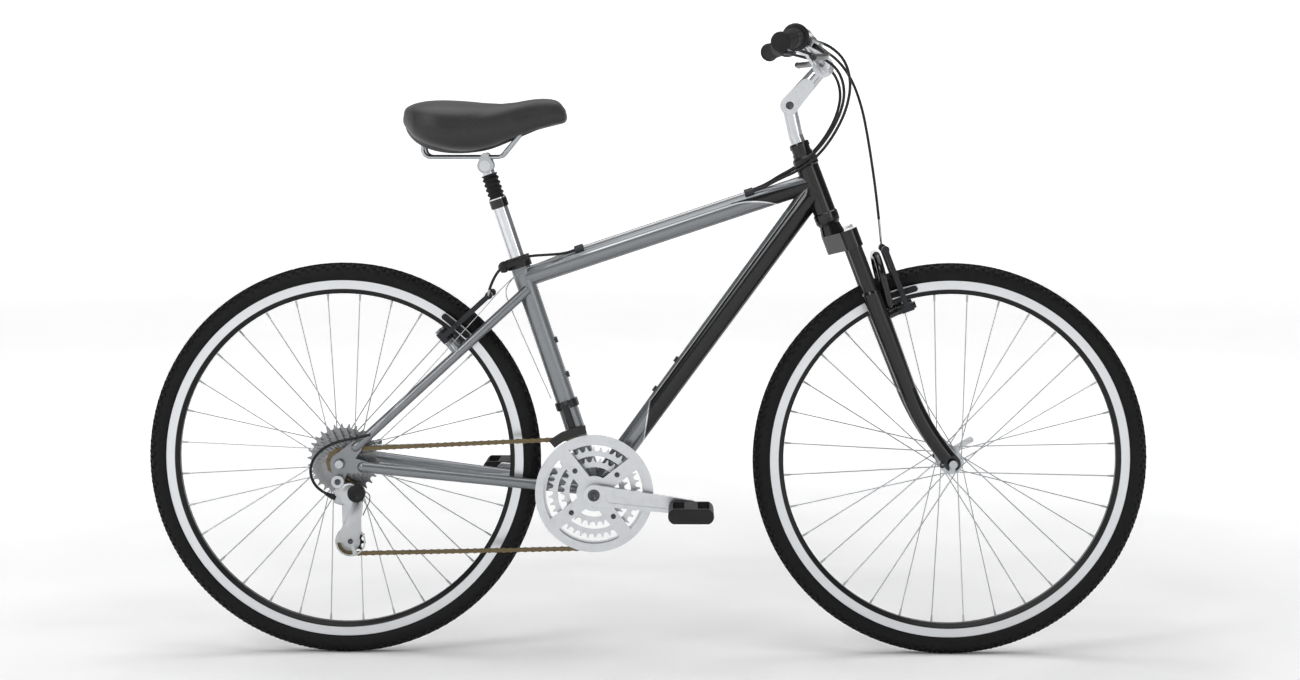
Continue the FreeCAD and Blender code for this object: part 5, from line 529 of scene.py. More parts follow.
def tread_tree():
    """Node tree: blocks in one row round a wheel, each turned with the tread."""
    tree = bpy.data.node_groups.new("TreadRow", "GeometryNodeTree")
    sockets = {}
    for name, kind in TREAD_INPUTS:
        made = tree.interface.new_socket(name, in_out="INPUT", socket_type="NodeSocket" + kind)
        sockets[name] = made.identifier
    tree.interface.new_socket("Geometry", in_out="OUTPUT", socket_type="NodeSocketGeometry")
    out = add(tree, "NodeGroupInput").outputs
    line = add(tree, "GeometryNodeMeshLine", {"Count": out["Count"], "Offset": (0, 0, 0)}).outputs[0]
    corners = {"Size": out["Block"], "Vertices X": 2, "Vertices Y": 2, "Vertices Z": 2}
    block = add(tree, "GeometryNodeMeshCube", corners).outputs[0]
    index = add(tree, "GeometryNodeInputIndex").outputs[0]
    whole = math_node(tree, "DIVIDE", 2 * math.pi, out["Count"])
    turn = times(tree, plus(tree, index, out["Phase"]), whole)
    spin = add(tree, "ShaderNodeCombineXYZ", {"Y": turn}).outputs[0]
    lean = add(tree, "ShaderNodeCombineXYZ", {"X": out["Lean"], "Z": out["Skew"]}).outputs[0]
    start = add(tree, "ShaderNodeCombineXYZ", {"Y": out["Side"], "Z": out["Radius"]}).outputs[0]
    place = add(tree, "ShaderNodeVectorRotate", {"Vector": start, "Rotation": spin},
                rotation_type="EULER_XYZ").outputs[0]
    put = add(tree, "GeometryNodeSetPosition", {"Geometry": line, "Position": place}).outputs[0]
    inner = add(tree, "FunctionNodeEulerToRotation", {0: lean}).outputs[0]
    outer = add(tree, "FunctionNodeEulerToRotation", {0: spin}).outputs[0]
    both = add(tree, "FunctionNodeRotateRotation", {0: inner, 1: outer}, rotation_space="GLOBAL").outputs[0]
    copies = {"Points": put, "Instance": block, "Rotation": both}
    many = add(tree, "GeometryNodeInstanceOnPoints", copies).outputs[0]
    moved = add(tree, "GeometryNodeTransform", {"Geometry": many, "Translation": out["Centre"]}).outputs[0]
    real = add(tree, "GeometryNodeRealizeInstances", {"Geometry": moved}).outputs[0]
    dressed = add(tree, "GeometryNodeSetMaterial", {"Geometry": real, "Material": out["Material"]})
    add(tree, "NodeGroupOutput", {"Geometry": dressed.outputs[0]})
    return tree, sockets


def run_tree(tree, sockets, values):
    """Plain mesh of a node tree with the given inputs."""
    holder = placed("holder", bpy.data.meshes.new("holder"))
    modifier = holder.modifiers.new("made", "NODES")
    modifier.node_group = tree
    for name, value in values.items():
        modifier[sockets[name]] = value
    return baked(holder)


class BIKE_OT_finishes(bpy.types.Operator):
    """Gives every CAD node its finish"""
    bl_idname = "bike.finishes"
    bl_label = "Finishes"

    def execute(self, context):
        for material, nodes in finishes(context.scene.bike_colours):
            for node in nodes:
                give(frame["nodes"][node], material)
        return {"FINISHED"}


CASING = 0.0032
TYRE_STEPS = 180
TYRE_OPENING = 132
# Each row's angle in degrees, phase, skew and block size.
TREAD_ROWS = ((0, 0.0, 0.0, (0.0125, 0.005, 0.0022)), (16, 0.5, 0.5, (0.010, 0.0055, 0.0022)),
              (36, 0.0, 0.7, (0.0085, 0.007, 0.0022)), (56, 0.5, 0.3, (0.006, 0.007, 0.0018)))


class BIKE_OT_tyres(bpy.types.Operator):
    """Makes the tyres with their tread"""
    bl_idname = "bike.tyres"
    bl_label = "Tyres"

    def execute(self, context):
        sizes = context.scene.bike_sizes
        tree, sockets = tread_tree()
        half = sizes.tyre_width / 2
        middle = sizes.tyre_radius - half - sizes.tread_height
        turns = [math.radians(a) for a in range(-TYRE_OPENING, TYRE_OPENING + 1, 11)]
        for side, axle in AXLES.items():
            rubber = tyre_rubber(side)
            bm = bmesh.new()
            outer = [(half * math.sin(t), middle + half * math.cos(t)) for t in turns]
            thin = half - CASING
            inner = [(thin * math.sin(t), middle + thin * math.cos(t)) for t in reversed(turns)]
            revolve(bm, axle, Vector((0, 1, 0)), outer + inner + outer[:1], TYRE_STEPS, FORWARD)
            bmesh.ops.remove_doubles(bm, verts=bm.verts, dist=1e-6)
            piece(side + "_tyre_skin", bm, rubber, side + "_wheel", [side + "_tyre"])
            tread = bmesh.new()
            for angle, phase, skew, block in TREAD_ROWS:
                for sign in (1, -1) if angle else (1,):
                    turn = math.radians(sign * angle)
                    tread.from_mesh(run_tree(tree, sockets, {
                        "Count": sizes.tread_count, "Radius": middle + half * math.cos(turn),
                        "Side": half * math.sin(turn), "Phase": phase, "Lean": -turn, "Skew": sign * skew,
                        "Block": block, "Centre": axle, "Material": rubber}))
            piece(side + "_tread", tread, rubber, side + "_wheel")
        return {"FINISHED"}


SADDLE_REAR = -0.419
SADDLE_LENGTH = 0.277
SADDLE_HALF = 0.1
SADDLE_DECK = 0.940
SADDLE_TOP = 0.040
SADDLE_DEPTH = 0.058
SADDLE_FLOOR = 0.001
# Share of the length, then shares of the half width, the top and the depth.
SADDLE_SHARES = ((0.0, 0.56, 0.62, -0.20), (0.07, 0.86, 0.82, -0.58), (0.20, 1.0, 0.92, -0.86),
                 (0.36, 0.93, 0.86, -0.97), (0.52, 0.66, 0.74, -0.86), (0.66, 0.40, 0.80, -0.60),
                 (0.80, 0.28, 0.98, -0.34), (0.87, 0.27, 1.0, -0.24), (0.93, 0.26, 0.97, -0.17),
                 (0.97, 0.235, 0.84, -0.12), (1.0, 0.20, 0.56, -0.10))
SADDLE_TIP = 1.0
SADDLE_STEPS = 44
SADDLE_TURNS = 24
REAR_CAP = ((0.35, -0.0042), (0.68, -0.0034), (0.9, -0.0016))
TIP_CAP = ((0.9, 0.0015), (0.68, 0.003), (0.35, 0.004))
FOAM_VOXEL = 0.005
FOAM_INSET = 0.0015
FOAM_SWELL = 0.003
FOAM_PRESSURE = 4.0
FOAM_FRAMES = 20


def smooth_row(rows, at):
    """Smooth values between rows of a table, by their first column."""
    i = max(k for k in range(len(rows) - 1) if rows[k][0] <= at or k == 0)
    a, b = rows[i], rows[i + 1]
    before, after = rows[max(i - 1, 0)], rows[min(i + 2, len(rows) - 1)]
    t = (at - a[0]) / (b[0] - a[0])
    values = []
    for k in range(1, len(a)):
        left = (b[k] - before[k]) / (b[0] - before[0]) * (b[0] - a[0])
        right = (after[k] - a[k]) / (after[0] - a[0]) * (b[0] - a[0])
        values.append((2 * t ** 3 - 3 * t ** 2 + 1) * a[k] + (t ** 3 - 2 * t ** 2 + t) * left
                      + (-2 * t ** 3 + 3 * t ** 2) * b[k] + (t ** 3 - t ** 2) * right)
    return values


def signed_power(value, power):
    """Power of a value's size, with the value's sign."""
    return abs(value) ** power * (1 if value >= 0 else -1)


def saddle_ring(at, shrink=1.0, shift=0.0):
    """Points round one section of the saddle's cover: a round top, and a flatter floor with full sides."""
    wide, top, bottom = smooth_row(SADDLE_SHARES, at)
    half = SADDLE_HALF * wide * shrink
    high = SADDLE_DECK + SADDLE_TOP * top
    floor = SADDLE_DECK + SADDLE_DEPTH * bottom + SADDLE_FLOOR
    middle = (high + floor) / 2
    high = middle + (high - middle) * shrink
    floor = middle + (floor - middle) * shrink
    edge = high - (high - floor) * 0.5
    x = SADDLE_REAR + SADDLE_LENGTH * at + shift
    turns = [math.pi * k / SADDLE_TURNS for k in range(SADDLE_TURNS)]
    points = []
    for turn in turns:
        reach = signed_power(math.cos(turn), 0.75)
        points.append(Vector((x, half * reach, edge + (high - edge) * math.sin(turn) ** 0.8)))
    for turn in turns:
        flat = 0.74 + 0.26 * abs(math.cos(turn)) ** 0.7
        reach = -signed_power(math.cos(turn), 0.35) * flat
        points.append(Vector((x, half * reach, edge + (floor - edge) * math.sin(turn) ** 0.6)))
    return points


def shaped(mesh, kind, **settings):
    """Plain mesh that one modifier makes of a mesh."""
    holder = placed("holder", mesh)
    modifier = holder.modifiers.new("shape", kind)
    for name, value in settings.items():
        setattr(modifier, name, value)
    return baked(holder)


def swollen(bm):
    """Skin over foam: the loft blown up from inside as cloth, held along its lower half, and never far."""
    loft = shaped(solid_mesh("loft", bm), "REMESH", mode="VOXEL", voxel_size=FOAM_VOXEL)
    foam = placed("foam", shaped(loft, "SMOOTH", factor=0.5, iterations=3))
    held = foam.vertex_groups.new(name="held")
    verts = foam.data.vertices
    inward = [v.normal * FOAM_INSET for v in verts]
    for vert, shift in zip(verts, inward):
        at = min(max((vert.co.x - SADDLE_REAR) / SADDLE_LENGTH, 0.0), SADDLE_TIP)
        top, bottom = smooth_row(SADDLE_SHARES, at)[1:]
        middle = SADDLE_DECK + (SADDLE_TOP * top + SADDLE_DEPTH * bottom) / 2
        if vert.co.z < middle:
            held.add([vert.index], 1.0, "REPLACE")
        else:
            vert.co -= shift
    start = [v.co.copy() for v in verts]
    cloth = foam.modifiers.new("foam", "CLOTH")
    cloth.settings.use_pressure = True
    cloth.settings.uniform_pressure_force = FOAM_PRESSURE
    cloth.settings.vertex_group_mass = "held"
    cloth.settings.effector_weights.gravity = 0.0
    cloth.point_cache.frame_end = FOAM_FRAMES
    for frame_number in range(1, FOAM_FRAMES + 1):
        bpy.context.scene.frame_set(frame_number)
    blown = baked(foam)
    bpy.context.scene.frame_set(1)
    for vert, before in zip(blown.vertices, start):
        move = vert.co - before
        if move.length > FOAM_SWELL:
            vert.co = before + move * (FOAM_SWELL / move.length)
    return shaped(shaped(blown, "SMOOTH", factor=0.5, iterations=4), "SUBSURF", levels=1, render_levels=1)


class BIKE_OT_saddle(bpy.types.Operator):
    """Makes the saddle's padded cover"""
    bl_idname = "bike.saddle"
    bl_label = "Saddle"

    def execute(self, context):
        bm = bmesh.new()
        sections = [saddle_ring(0.0, shrink, shift) for shrink, shift in REAR_CAP]
        sections += [saddle_ring(SADDLE_TIP * k / SADDLE_STEPS) for k in range(SADDLE_STEPS + 1)]
        sections += [saddle_ring(SADDLE_TIP, shrink, shift) for shrink, shift in TIP_CAP]
        capped_skin(bm, [[bm.verts.new(p) for p in section] for section in sections])
        vinyl = saddle_vinyl(context.scene.bike_colours)
        cover = piece("saddle_cover", swollen(bm), vinyl, "saddle", ["saddle_cushion"])
        return {"FINISHED"}


BAR_CLEAR = 0.0113
GRIP_FLANGE = ((-0.0014, 0), (-0.0014, 0.0095), (-0.0010, 0.0138), (0.0004, 0.0162), (0.002, 0.0169),
               (0.0036, 0.0167), (0.0046, 0.0152))
GRIP_STEPS = 48
GRIP_RIBS = 18
GRIP_RIB_START = 0.0056
GRIP_RIB_PITCH = 0.0031
GRIP_GROOVE = 0.0008
GRIP_LENGTH = 0.0639
SLEEVE_START = 0.0646
SLEEVE_LENGTH = 0.0494
SLEEVE_STEPS = 144
SLEEVE_RINGS = 24
SLEEVE_RIBS = 18
SLEEVE_RIB_SHARE = 0.045
SHIFTER_STEPS = 64
SHIFTER_START = 0.1148
SHIFTER_PROFILE = ((0.0, 0.0113), (0.0, 0.0205), (0.0008, 0.0225), (0.002, 0.0233), (0.004, 0.0235),
                   (0.0055, 0.0229), (0.0062, 0.0224), (0.009, 0.0221), (0.012, 0.0207), (0.015, 0.0186),
                   (0.0172, 0.0163), (0.0178, 0.0150), (0.0178, 0.0113))


def both_sides(name, profile, steps, material, bodies, nodes, wave=None):
    """The same turned piece on both ends of the bar, each on its own body."""
    for side, body, node in zip(("left", "right"), bodies, nodes):
        bm = bmesh.new()
        revolve(bm, BAR_END, GRIP_IN, profile, steps, LEVER_WAY, wave)
        if side == "right":
            for vert in bm.verts:
                vert.co.y = -vert.co.y
        piece(f"{name}_{side}", bm, material, body, [node])


def grip_profile(radius):
    """Rubber grip with a flanged end, ring ribs and a closed end cap."""
    profile = list(GRIP_FLANGE)
    groove = radius - GRIP_GROOVE
    for k in range(GRIP_RIBS):
        start = GRIP_RIB_START + k * GRIP_RIB_PITCH
        profile += [(start, radius), (start + 0.0014, radius)]
        profile += [(start + 0.0020, groove), (start + 0.0026, groove)]
    return profile + [(0.0630, radius), (GRIP_LENGTH, radius - 0.0006), (GRIP_LENGTH, BAR_CLEAR)]


def sleeve_profile():
    """Turning sleeve with rounded ends."""
    start = SLEEVE_START
    end = start + SLEEVE_LENGTH
    pitch = (SLEEVE_LENGTH - 0.006) / SLEEVE_RINGS
    profile = [(start, BAR_CLEAR), (start, 0.0148), (start + 0.0012, 0.0158)]
    profile += [(start + 0.003 + k * pitch, 0.0160) for k in range(SLEEVE_RINGS + 1)]
    return profile + [(end - 0.0012, 0.0158), (end, 0.0150), (end, BAR_CLEAR)]


def sleeve_ribs(turn, distance):
    """Long finger ribs that fade out at both ends of the sleeve."""
    share = (distance - SLEEVE_START) / SLEEVE_LENGTH
    fade = min(1.0, max(0.0, min(share, 1 - share) * 9))
    return SLEEVE_RIB_SHARE * fade * max(-0.4, math.cos(SLEEVE_RIBS * turn))


class BIKE_OT_grips(bpy.types.Operator):
    """Makes the grips, the turning shifter sleeves and their housings"""
    bl_idname = "bike.grips"
    bl_label = "Grips"

    def execute(self, context):
        rubber = moulded("GripRubber", "#111112", 0.6, 0.9, 0.06)
        shell = moulded("ShifterNylon", "#151517", 0.4, 0.7, 0.03)
        grip = grip_profile(context.scene.bike_sizes.grip_radius)
        shifter = [(SHIFTER_START + d, r) for d, r in SHIFTER_PROFILE]
        fixed = ("cockpit", "cockpit")
        both_sides("grip", grip, GRIP_STEPS, rubber, fixed, ("grips", "grips"))
        both_sides("shifter_housing", shifter, SHIFTER_STEPS, shell, fixed, ("grips", "grips"))
        both_sides("twist_grip", sleeve_profile(), SLEEVE_STEPS, rubber, ("twist_left", "twist_right"),
                   ("twist_sleeve_left", "twist_sleeve_right"), sleeve_ribs)
        return {"FINISHED"}


BOOT_FOOT = 0.540
BOOT_HEIGHT = 0.0438
BOOT_BORE = 0.0112
BOOT_VALLEY = 0.0119
BOOT_FOLD = 0.0031
FOLD_STEPS = 8
BOOT_STEPS = 64


class BIKE_OT_boot(bpy.types.Operator):
    """Makes the folded rubber boot of the sprung seatpost"""
    bl_idname = "bike.boot"
    bl_label = "Seatpost boot"

    def execute(self, context):
        folds = context.scene.bike_sizes.boot_folds
        up = SEAT_WAY
        base = CRANK + up * BOOT_FOOT
        bm = bmesh.new()
        profile = [(0.0002, BOOT_BORE), (0.0002, 0.0148)]
        for k in range(folds * FOLD_STEPS + 1):
            at = BOOT_HEIGHT * k / (folds * FOLD_STEPS)
            wave = 0.5 + 0.5 * math.cos(2 * math.pi * at / (BOOT_HEIGHT / folds))
            profile.append((max(at, 0.0004), BOOT_VALLEY + BOOT_FOLD * wave ** 0.8))
        profile += [(BOOT_HEIGHT, 0.0128), (BOOT_HEIGHT, BOOT_BORE)]
        revolve(bm, base, up, profile, BOOT_STEPS, FORWARD)
        rubber = moulded("BootRubber", "#0E0E0F", 0.55, 0.8, 0.04)
        boot = piece("seatpost_bellows", bm, rubber, None, ["seatpost_boot"])
        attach(boot, "seatpost")
        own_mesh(boot)
        return {"FINISHED"}


# Control points in millimetres, as in the CAD source.
CABLES = {
    "front_brake_housing": (
        (282.1, 141, 1074), (289, 116, 1074), (312, 96, 1066), (340, 80, 1045), (364, 70, 1008),
        (380, 63, 960), (390, 59, 908), (398, 58, 858), (405, 58, 810), (410, 58, 766)),
    "rear_brake_housing": (
        (282.1, -141, 1074), (289, -116, 1074), (314, -96, 1066), (340, -78, 1044), (352, -62, 1006),
        (346, -50, 962), (326, -42, 918), (298, -37, 880), (264, -31, 854), (228, -20, 838),
        (201.5, -10, 822.8), (178.7, -10, 815.2)),
    "rear_shift_housing": (
        (246, -169, 1061), (254, -140, 1060), (274, -114, 1054), (303, -92, 1046), (330, -74, 1026),
        (342, -58, 992), (336, -46, 955), (318, -38, 918), (292, -33, 884), (260, -28, 858),
        (228, -10, 842), (200.6, 0, 825.3), (177.9, 0, 817.7)),
    "front_shift_housing": (
        (246, 169, 1061), (254, 140, 1060), (274, 114, 1054), (303, 92, 1046), (330, 74, 1026),
        (342, 58, 992), (336, 46, 955), (318, 38, 918), (292, 33, 884), (260, 30, 858), (228, 20, 842),
        (201.5, 10, 822.8), (178.7, 10, 815.2)),
    "rear_brake_tail": (
        (-118.1, -10, 716.5), (-140.9, -10, 708.9), (-170, -19, 707), (-202, -35, 706), (-230, -47, 700),
        (-252, -54, 686), (-266, -56, 666), (-272, -56, 648)),
    "derailleur_loop": (
        (-478, -82, 398), (-502, -83, 392), (-526, -84, 388), (-550, -84, 380), (-572, -81, 364),
        (-584, -78, 342), (-582, -77, 318), (-566, -80, 298), (-544, -86, 290)),
}
WIRES = {
    "brake_wires": (
        ((178.7, -10, 815.2), (-118.1, -10, 716.5)),
        ((414, 34, 717), (414, -34, 717)),
        ((-274.4, 34, 637), (-274.4, -34, 637)),
    ),
    "shift_wires": (
        ((177.9, 0, 817.7), (-118.9, 0, 719)),
        ((178.7, 10, 815.2), (-118.1, 10, 716.5)),
        ((-118.9, 0, 719), (-141.7, 0, 711.4), (-180, -24, 695), (-228, -30, 676), (-290, -54, 606),
         (-345, -64, 545), (-478, -82, 398)),
        ((-118.1, 10, 716.5), (-140.9, 10, 708.9), (-188, 26, 692), (-226, 26, 674), (-250, 6, 648),
         (-244, -1, 620), (-168, -4, 452)),
    ),
}


def spline(points):
    """Smooth curve with the points as its control points, in metres."""
    data = bpy.data.curves.new("route", "CURVE")
    data.dimensions = "3D"
    data.resolution_u = 8
    line = data.splines.new("NURBS")
    line.points.add(len(points) - 1)
    for spot, target in zip(points, line.points):
        target.co = (*(c * MM for c in spot), 1)
    line.order_u = min(3, len(points))
    line.use_endpoint_u = True
    return data


def path_of(points):
    """Points that the smooth curve passes, and its length."""
    path = [v.co.copy() for v in baked(placed("holder", spline(points))).vertices]
    return path, sum((b - a).length for a, b in zip(path, path[1:]))


def tube(points, radius):
    data = spline(points)
    data.bevel_depth = radius
    data.bevel_resolution = 3
    data.use_fill_caps = True
    return baked(placed("holder", data))


BOLT_PROFILE = ((-0.0004, 0), (-0.0004, 1), (0.7, 1), (1, 0.86), (1, 0.52), (0.3, 0.48), (0.3, 0))
BOLT_STEPS = 24
GUARD_BOLT_CIRCLE = 0.052
BOLTS = (
    ("crank_bolts", "crankset", 0.0105, 0.0024, ((-0.0905, -0.086, 0.293), (-0.0905, 0.086, 0.293))),
    ("guard_bolts", "crankset", 0.0046, 0.0020, tuple(
        (-0.0905 + GUARD_BOLT_CIRCLE * math.cos(a), -0.0654, 0.293 + GUARD_BOLT_CIRCLE * math.sin(a))
        for a in (math.radians(40 + i * 90) for i in range(4)))),
    ("stem_bolts", "cockpit", 0.0070, 0.0016, ((0.2483, -0.0195, 0.96636), (0.2483, 0.0195, 0.96636))),
    ("knuckle_bolts", "frame", 0.0055, 0.0012, ((-0.5345, -0.091, 0.316),)),
    ("pulley_bolts", "cage", 0.0048, 0.0014, ((-0.5163, -0.0680, 0.2084),)),
)


class BIKE_OT_fasteners(bpy.types.Operator):
    """Makes the bolt heads with their round sockets"""
    bl_idname = "bike.fasteners"
    bl_label = "Fasteners"

    def execute(self, context):
        head = bare_metal("BoltSteel", "#54565A", 0.3, 0.5)
        for name, body, radius, height, spots in BOLTS:
            bm = bmesh.new()
            profile = [(d * height if d > 0 else d, r * radius) for d, r in BOLT_PROFILE]
            for spot in spots:
                out = Vector((0, -1 if spot[1] < 0 else 1, 0))
                revolve(bm, Vector(spot), out, profile, BOLT_STEPS, FORWARD)
            piece(name, bm, head, body)
        return {"FINISHED"}


DERAILLEUR_BODY = ((-541, 279), (-541, 296), (-539, 306), (-530, 312), (-513, 314), (-502, 309), (-502, 284),
                   (-516, 279), (-529, 275))
CAGE_ARM = ((-541, 206), (-535, 226), (-524, 246), (-514, 268), (-509, 284), (-497, 284), (-494, 272),
            (-497, 248), (-497, 226), (-503, 206))
CASTING_FACES = (-90.0, -77.0)
CAGE_ARM_FACES = (-68.2, -66.4)
CAGE_DISC_FACES = (-68.0, -66.6)
TENSION = (-516.3, 208.4)
CAGE_RADII = (17.0, 23.5, 26.5)
CAGE_WINDOWS = ((-62, 72), (-178, -78))
DISC_STEPS = 72
KNUCKLE_STEPS = 48
KNUCKLE = Vector((-0.5025, -0.0925, 0.2955))
KNUCKLE_BARREL = ((-0.0165, 0), (-0.0165, 0.0150), (-0.002, 0.0155), (-0.0006, 0.0146), (0, 0.0132),
                  (0, 0.0070), (-0.0012, 0.0062), (-0.0012, 0))
ADJUSTER = ((-0.012, 0), (-0.012, 0.0032), (-0.0115, 0.0037), (-0.005, 0.0037), (-0.0045, 0.0048),
            (0.006, 0.0048), (0.0065, 0.0040), (0.0065, 0))
ADJUSTER_STEPS = 24
ADJUSTER_RIBS = 12
ADJUSTER_RIB_SHARE = 0.04
ADJUSTER_RIBS_FROM = -0.0046
WIRE_TAIL_RADIUS = 0.0009
WIRE_TAIL = ((-489, -90, 300), (-479, -91, 297), (-478, -91, 284), (-485, -91, 271), (-491, -91, 258))


def plate(bm, outline, faces, edge):
    """Flat plate of an outline in millimetres, with a bevelled face towards the camera side."""
    near, far = faces
    middle = [sum(c) / len(outline) for c in zip(*outline)]
    rings = []
    for y, inset in ((far, 0.0), (near + edge, 0.0), (near, edge)):
        ring = []
        for x, z in outline:
            share = 1 - inset / math.hypot(x - middle[0], z - middle[1])
            spot = (middle[0] + (x - middle[0]) * share, y, middle[1] + (z - middle[1]) * share)
            ring.append(bm.verts.new([c * MM for c in spot]))
        rings.append(ring)
    capped_skin(bm, rings)


def windowed_disc(bm, centre, faces, radii, windows):
    """Round plate with curved windows between its middle and its rim, in millimetres."""
    def spot(radius, k, y):
        turn = 2 * math.pi * k / DISC_STEPS
        x = centre[0] + radius * math.cos(turn)
        z = centre[1] + radius * math.sin(turn)
        return x * MM, y * MM, z * MM

    def is_open(k):
        turn = (k + 0.5) * 360 / DISC_STEPS
        return any(low <= (turn - 360 if turn > 180 else turn) <= high for low, high in windows)
    wall = [[[bm.verts.new(spot(r, k, y)) for k in range(DISC_STEPS)] for r in radii] for y in faces]
    hubs = [bm.verts.new((centre[0] * MM, y * MM, centre[1] * MM)) for y in faces]
    for k in range(DISC_STEPS):
        n = (k + 1) % DISC_STEPS
        for hub, face in zip(hubs, wall):
            bm.faces.new((hub, face[0][k], face[0][n]))
            first = 1 if is_open(k) else 0
            for low, high in zip(face[first:], face[first + 1:]):
                bm.faces.new((low[k], low[n], high[n], high[k]))
        for ring in [2] + ([0, 1] if is_open(k) else []):
            bm.faces.new((wall[0][ring][k], wall[0][ring][n], wall[1][ring][n], wall[1][ring][k]))
        if is_open(k) != is_open(n):
            bm.faces.new((wall[0][0][n], wall[0][1][n], wall[1][1][n], wall[1][0][n]))


def ribbed(turn, distance):
    """Finger ribs of the cable adjuster, on its thick end only."""
    return ADJUSTER_RIB_SHARE * math.cos(ADJUSTER_RIBS * turn) if distance > ADJUSTER_RIBS_FROM else 0.0


class BIKE_OT_derailleur(bpy.types.Operator):
    """Makes the derailleur's cast body, black knuckle, windowed cage plate and cable end"""
    bl_idname = "bike.derailleur"
    bl_label = "Rear derailleur"

    def execute(self, context):
        cast = bare_metal("TumbledCastAlloy", "#B9BBBD", 0.34, 0.6)
        nylon = moulded("KnuckleNylon", "#101011", 0.45, 0.8, 0.02)
        bm = bmesh.new()
        plate(bm, DERAILLEUR_BODY, CASTING_FACES, 2.5)
        piece("derailleur_casting", bm, cast, "frame")
        bm = bmesh.new()
        revolve(bm, KNUCKLE, Vector((0, -1, 0)), KNUCKLE_BARREL, KNUCKLE_STEPS, FORWARD)
        before, tip = [Vector(spot) * MM for spot in CABLES["derailleur_loop"][-2:]]
        way = (tip - before).normalized()
        revolve(bm, tip, way, ADJUSTER, ADJUSTER_STEPS, Vector((0, 1, 0)), ribbed)
        piece("derailleur_knuckle", bm, nylon, "frame")
        bm = bmesh.new()
        plate(bm, CAGE_ARM, CAGE_ARM_FACES, 0.5)
        windowed_disc(bm, TENSION, CAGE_DISC_FACES, CAGE_RADII, CAGE_WINDOWS)
        piece("cage_plate", bm, cast, "cage")
        piece("wire_tail", tube(WIRE_TAIL, WIRE_TAIL_RADIUS), nylon, "frame")
        return {"FINISHED"}


GUIDE_RADIUS = 0.0022
GUIDES = (
    ("front_guide", ((410, 58, 766), (414, 58, 730), (414, 52, 717), (414, 46.9, 717)), "fork_sliders"),
    ("rear_guide", ((-272, -56, 648), (-273.5, -56, 640), (-274.4, -52, 637), (-274.4, -46.9, 637)),
     "frame"),
)


class BIKE_OT_cables(bpy.types.Operator):
    """Makes the brake and shift cables: smooth housings, bare wires and curved guides"""
    bl_idname = "bike.cables"
    bl_label = "Cables"

    def execute(self, context):
        sizes = context.scene.bike_sizes
        jacket = moulded("CableJacketVinyl", "#131314", 0.38, 1.5, 0.01)
        wire = bare_metal("StrandedWire", "#A9ABAD", 0.3, 0.5)
        guide = bare_metal("GuideSteel", "#9EA1A4", 0.22, 0.6)
        for name, points in CABLES.items():
            node = "brake_cables" if "brake" in name else "shift_cables"
            path, length = path_of(points)
            housing = piece(name, tube(points, sizes.cable_radius), jacket, None, [node])
            if name == "front_brake_housing":
                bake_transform(housing)
            elif name.endswith("_housing"):
                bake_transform(housing)
            else:
                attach(housing, "frame")
        for name, lines in WIRES.items():
            node = "brake_cables" if "brake" in name else "shift_cables"
            for i, points in enumerate(lines):
                body = "fork_sliders" if (name, i) == ("brake_wires", 1) else "frame"
                piece(f"{name}_{i}", tube(points, sizes.wire_radius), wire, body, [node])
        for name, points, body in GUIDES:
            piece(name, tube(points, GUIDE_RADIUS), guide, body, ["brake_cables"])
        return {"FINISHED"}


FLOOR_RADIUS = 12
WALL_BEND = 2
WALL_TOP = 3.4
FLOOR_STEPS = 72
GLOW_START = 0.9
GLOW_END = 3.6
GLOW = 0.6
SKY = 0.22
LIGHTS = (("key", (-2.4, -3.0, 3.2), (0, 0, 0.5), 1.6, 55),
          ("fill", (3.0, -3.0, 1.8), (0.1, 0, 0.5), 1.2, 10),
          ("top", (0, 0.2, 4.2), (0, 0, 0.0), 4.0, 120))
SENSOR = 36.0
FOCAL_PIXELS = 2503.6
PHOTO_WIDTH = 1300
CAMERA_SPOT = (0.0765, -4.3832, 0.9332)
CAMERA_WAY = Vector((-0.0161, 0.9962, -0.0857))


def aimed(obj, spot, way):
    """Puts a light or camera at a spot, looking along a way."""
    obj.location = spot
    obj.rotation_euler = way.to_track_quat("-Z", "Y").to_euler()
    return obj


def floor_mesh():
    """Round floor that bends up into a low wall."""
    bm = bmesh.new()
    turns = [math.radians(a) for a in range(0, 91, 10)]
    bend = [(FLOOR_RADIUS + WALL_BEND * math.sin(t), WALL_BEND - WALL_BEND * math.cos(t)) for t in turns]
    rows = []
    for radius, z in [(2, 0), (6, 0)] + bend + [(FLOOR_RADIUS + WALL_BEND, WALL_TOP)]:
        around = [math.tau * k / FLOOR_STEPS for k in range(FLOOR_STEPS)]
        rows.append([bm.verts.new((radius * math.cos(a), radius * math.sin(a), z)) for a in around])
    bm.faces.new(rows[0])
    skin(bm, rows[::-1])
    mesh = bpy.data.meshes.new("studio_floor")
    bm.to_mesh(mesh)
    bm.free()
    for polygon in mesh.polygons:
        polygon.use_smooth = True
    return mesh


def floor_paint(code):
    """Pale matte studio paint that glows away from the bike, so that the ground fades to white."""
    material, tree, place = surface("PaintedStudioFloor")
    away = vector_node(tree, "LENGTH", place, output="Value")
    glow = add(tree, "ShaderNodeMapRange", {"Value": away, "From Min": GLOW_START, "From Max": GLOW_END,
                                            "To Min": 0.0, "To Max": GLOW}).outputs["Result"]
    tone = ramp(tree, grain(tree, place, 400), linear(code), linear("#FFFFFF"))
    return finished(
        material, Base_Color=tone, Roughness=0.9, Specular_IOR_Level=0.1, Emission_Color=(1, 1, 1, 1),
        Emission_Strength=glow)


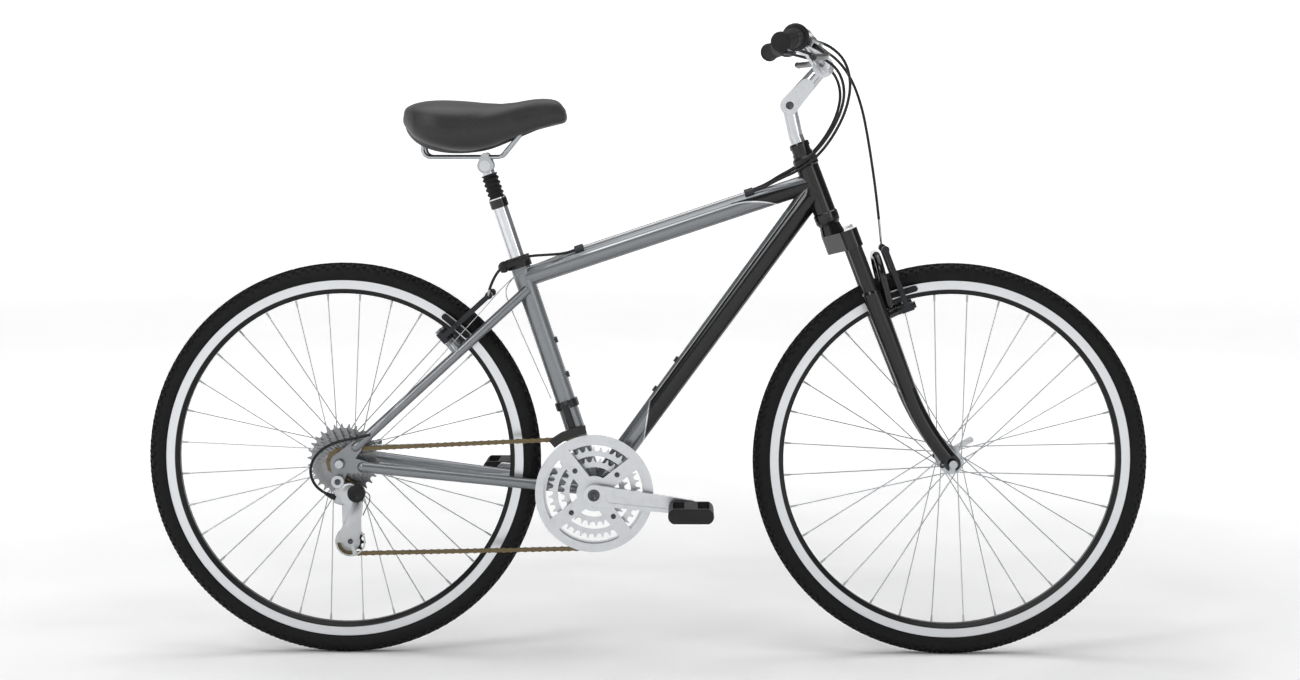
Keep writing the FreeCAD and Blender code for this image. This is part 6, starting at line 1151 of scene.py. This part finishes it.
class BIKE_OT_stage(bpy.types.Operator):
    """Makes the studio floor, the soft lights and the camera"""
    bl_idname = "bike.stage"
    bl_label = "Stage"

    def execute(self, context):
        scene = context.scene
        floor = placed("studio_floor", floor_mesh())
        give(floor, floor_paint(scene.bike_colours.floor))
        world = bpy.data.worlds.new("studio")
        world.use_nodes = True
        sky = world.node_tree.nodes["Background"]
        feed(world.node_tree, sky, {"Color": (1, 1, 1, 1), "Strength": SKY})
        scene.world = world
        for name, spot, target, size, power in LIGHTS:
            data = bpy.data.lights.new(name, "AREA")
            data.size = size
            data.energy = power
            aimed(placed(name, data), spot, Vector(target) - Vector(spot))
        data = bpy.data.cameras.new("camera")
        data.sensor_width = SENSOR
        data.lens = SENSOR * FOCAL_PIXELS / PHOTO_WIDTH
        scene.camera = aimed(placed("camera", data), CAMERA_SPOT, CAMERA_WAY)
        scene.view_settings.view_transform = "Standard"
        return {"FINISHED"}


class BIKE_PT_panel(bpy.types.Panel):
    bl_idname = "BIKE_PT_panel"
    bl_label = "Hybrid bike"
    bl_space_type = "VIEW_3D"
    bl_region_type = "UI"
    bl_category = "Hybrid bike"

    def draw(self, context):
        for group in (context.scene.bike_sizes, context.scene.bike_colours):
            for name in group.bl_rna.properties.keys():
                if name not in ("rna_type", "name"):
                    self.layout.prop(group, name)
        for operator in OPERATORS:
            self.layout.operator(operator.bl_idname)


OPERATORS = (BIKE_OT_stage, BIKE_OT_cables, BIKE_OT_finishes, BIKE_OT_tyres, BIKE_OT_saddle, BIKE_OT_grips,
             BIKE_OT_boot, BIKE_OT_fasteners, BIKE_OT_derailleur)
CLASSES = (BikeSizes, BikeColours) + OPERATORS + (BIKE_PT_panel,)


def register():
    for cls in CLASSES:
        bpy.utils.register_class(cls)
    bpy.types.Scene.bike_sizes = bpy.props.PointerProperty(type=BikeSizes)
    bpy.types.Scene.bike_colours = bpy.props.PointerProperty(type=BikeColours)


def unregister():
    del bpy.types.Scene.bike_colours
    del bpy.types.Scene.bike_sizes
    for cls in reversed(CLASSES):
        bpy.utils.unregister_class(cls)


def main():
    register()
    for operator in OPERATORS:
        group, name = operator.bl_idname.split(".")
        getattr(getattr(bpy.ops, group), name)()


if __name__ == "__main__":
    main()
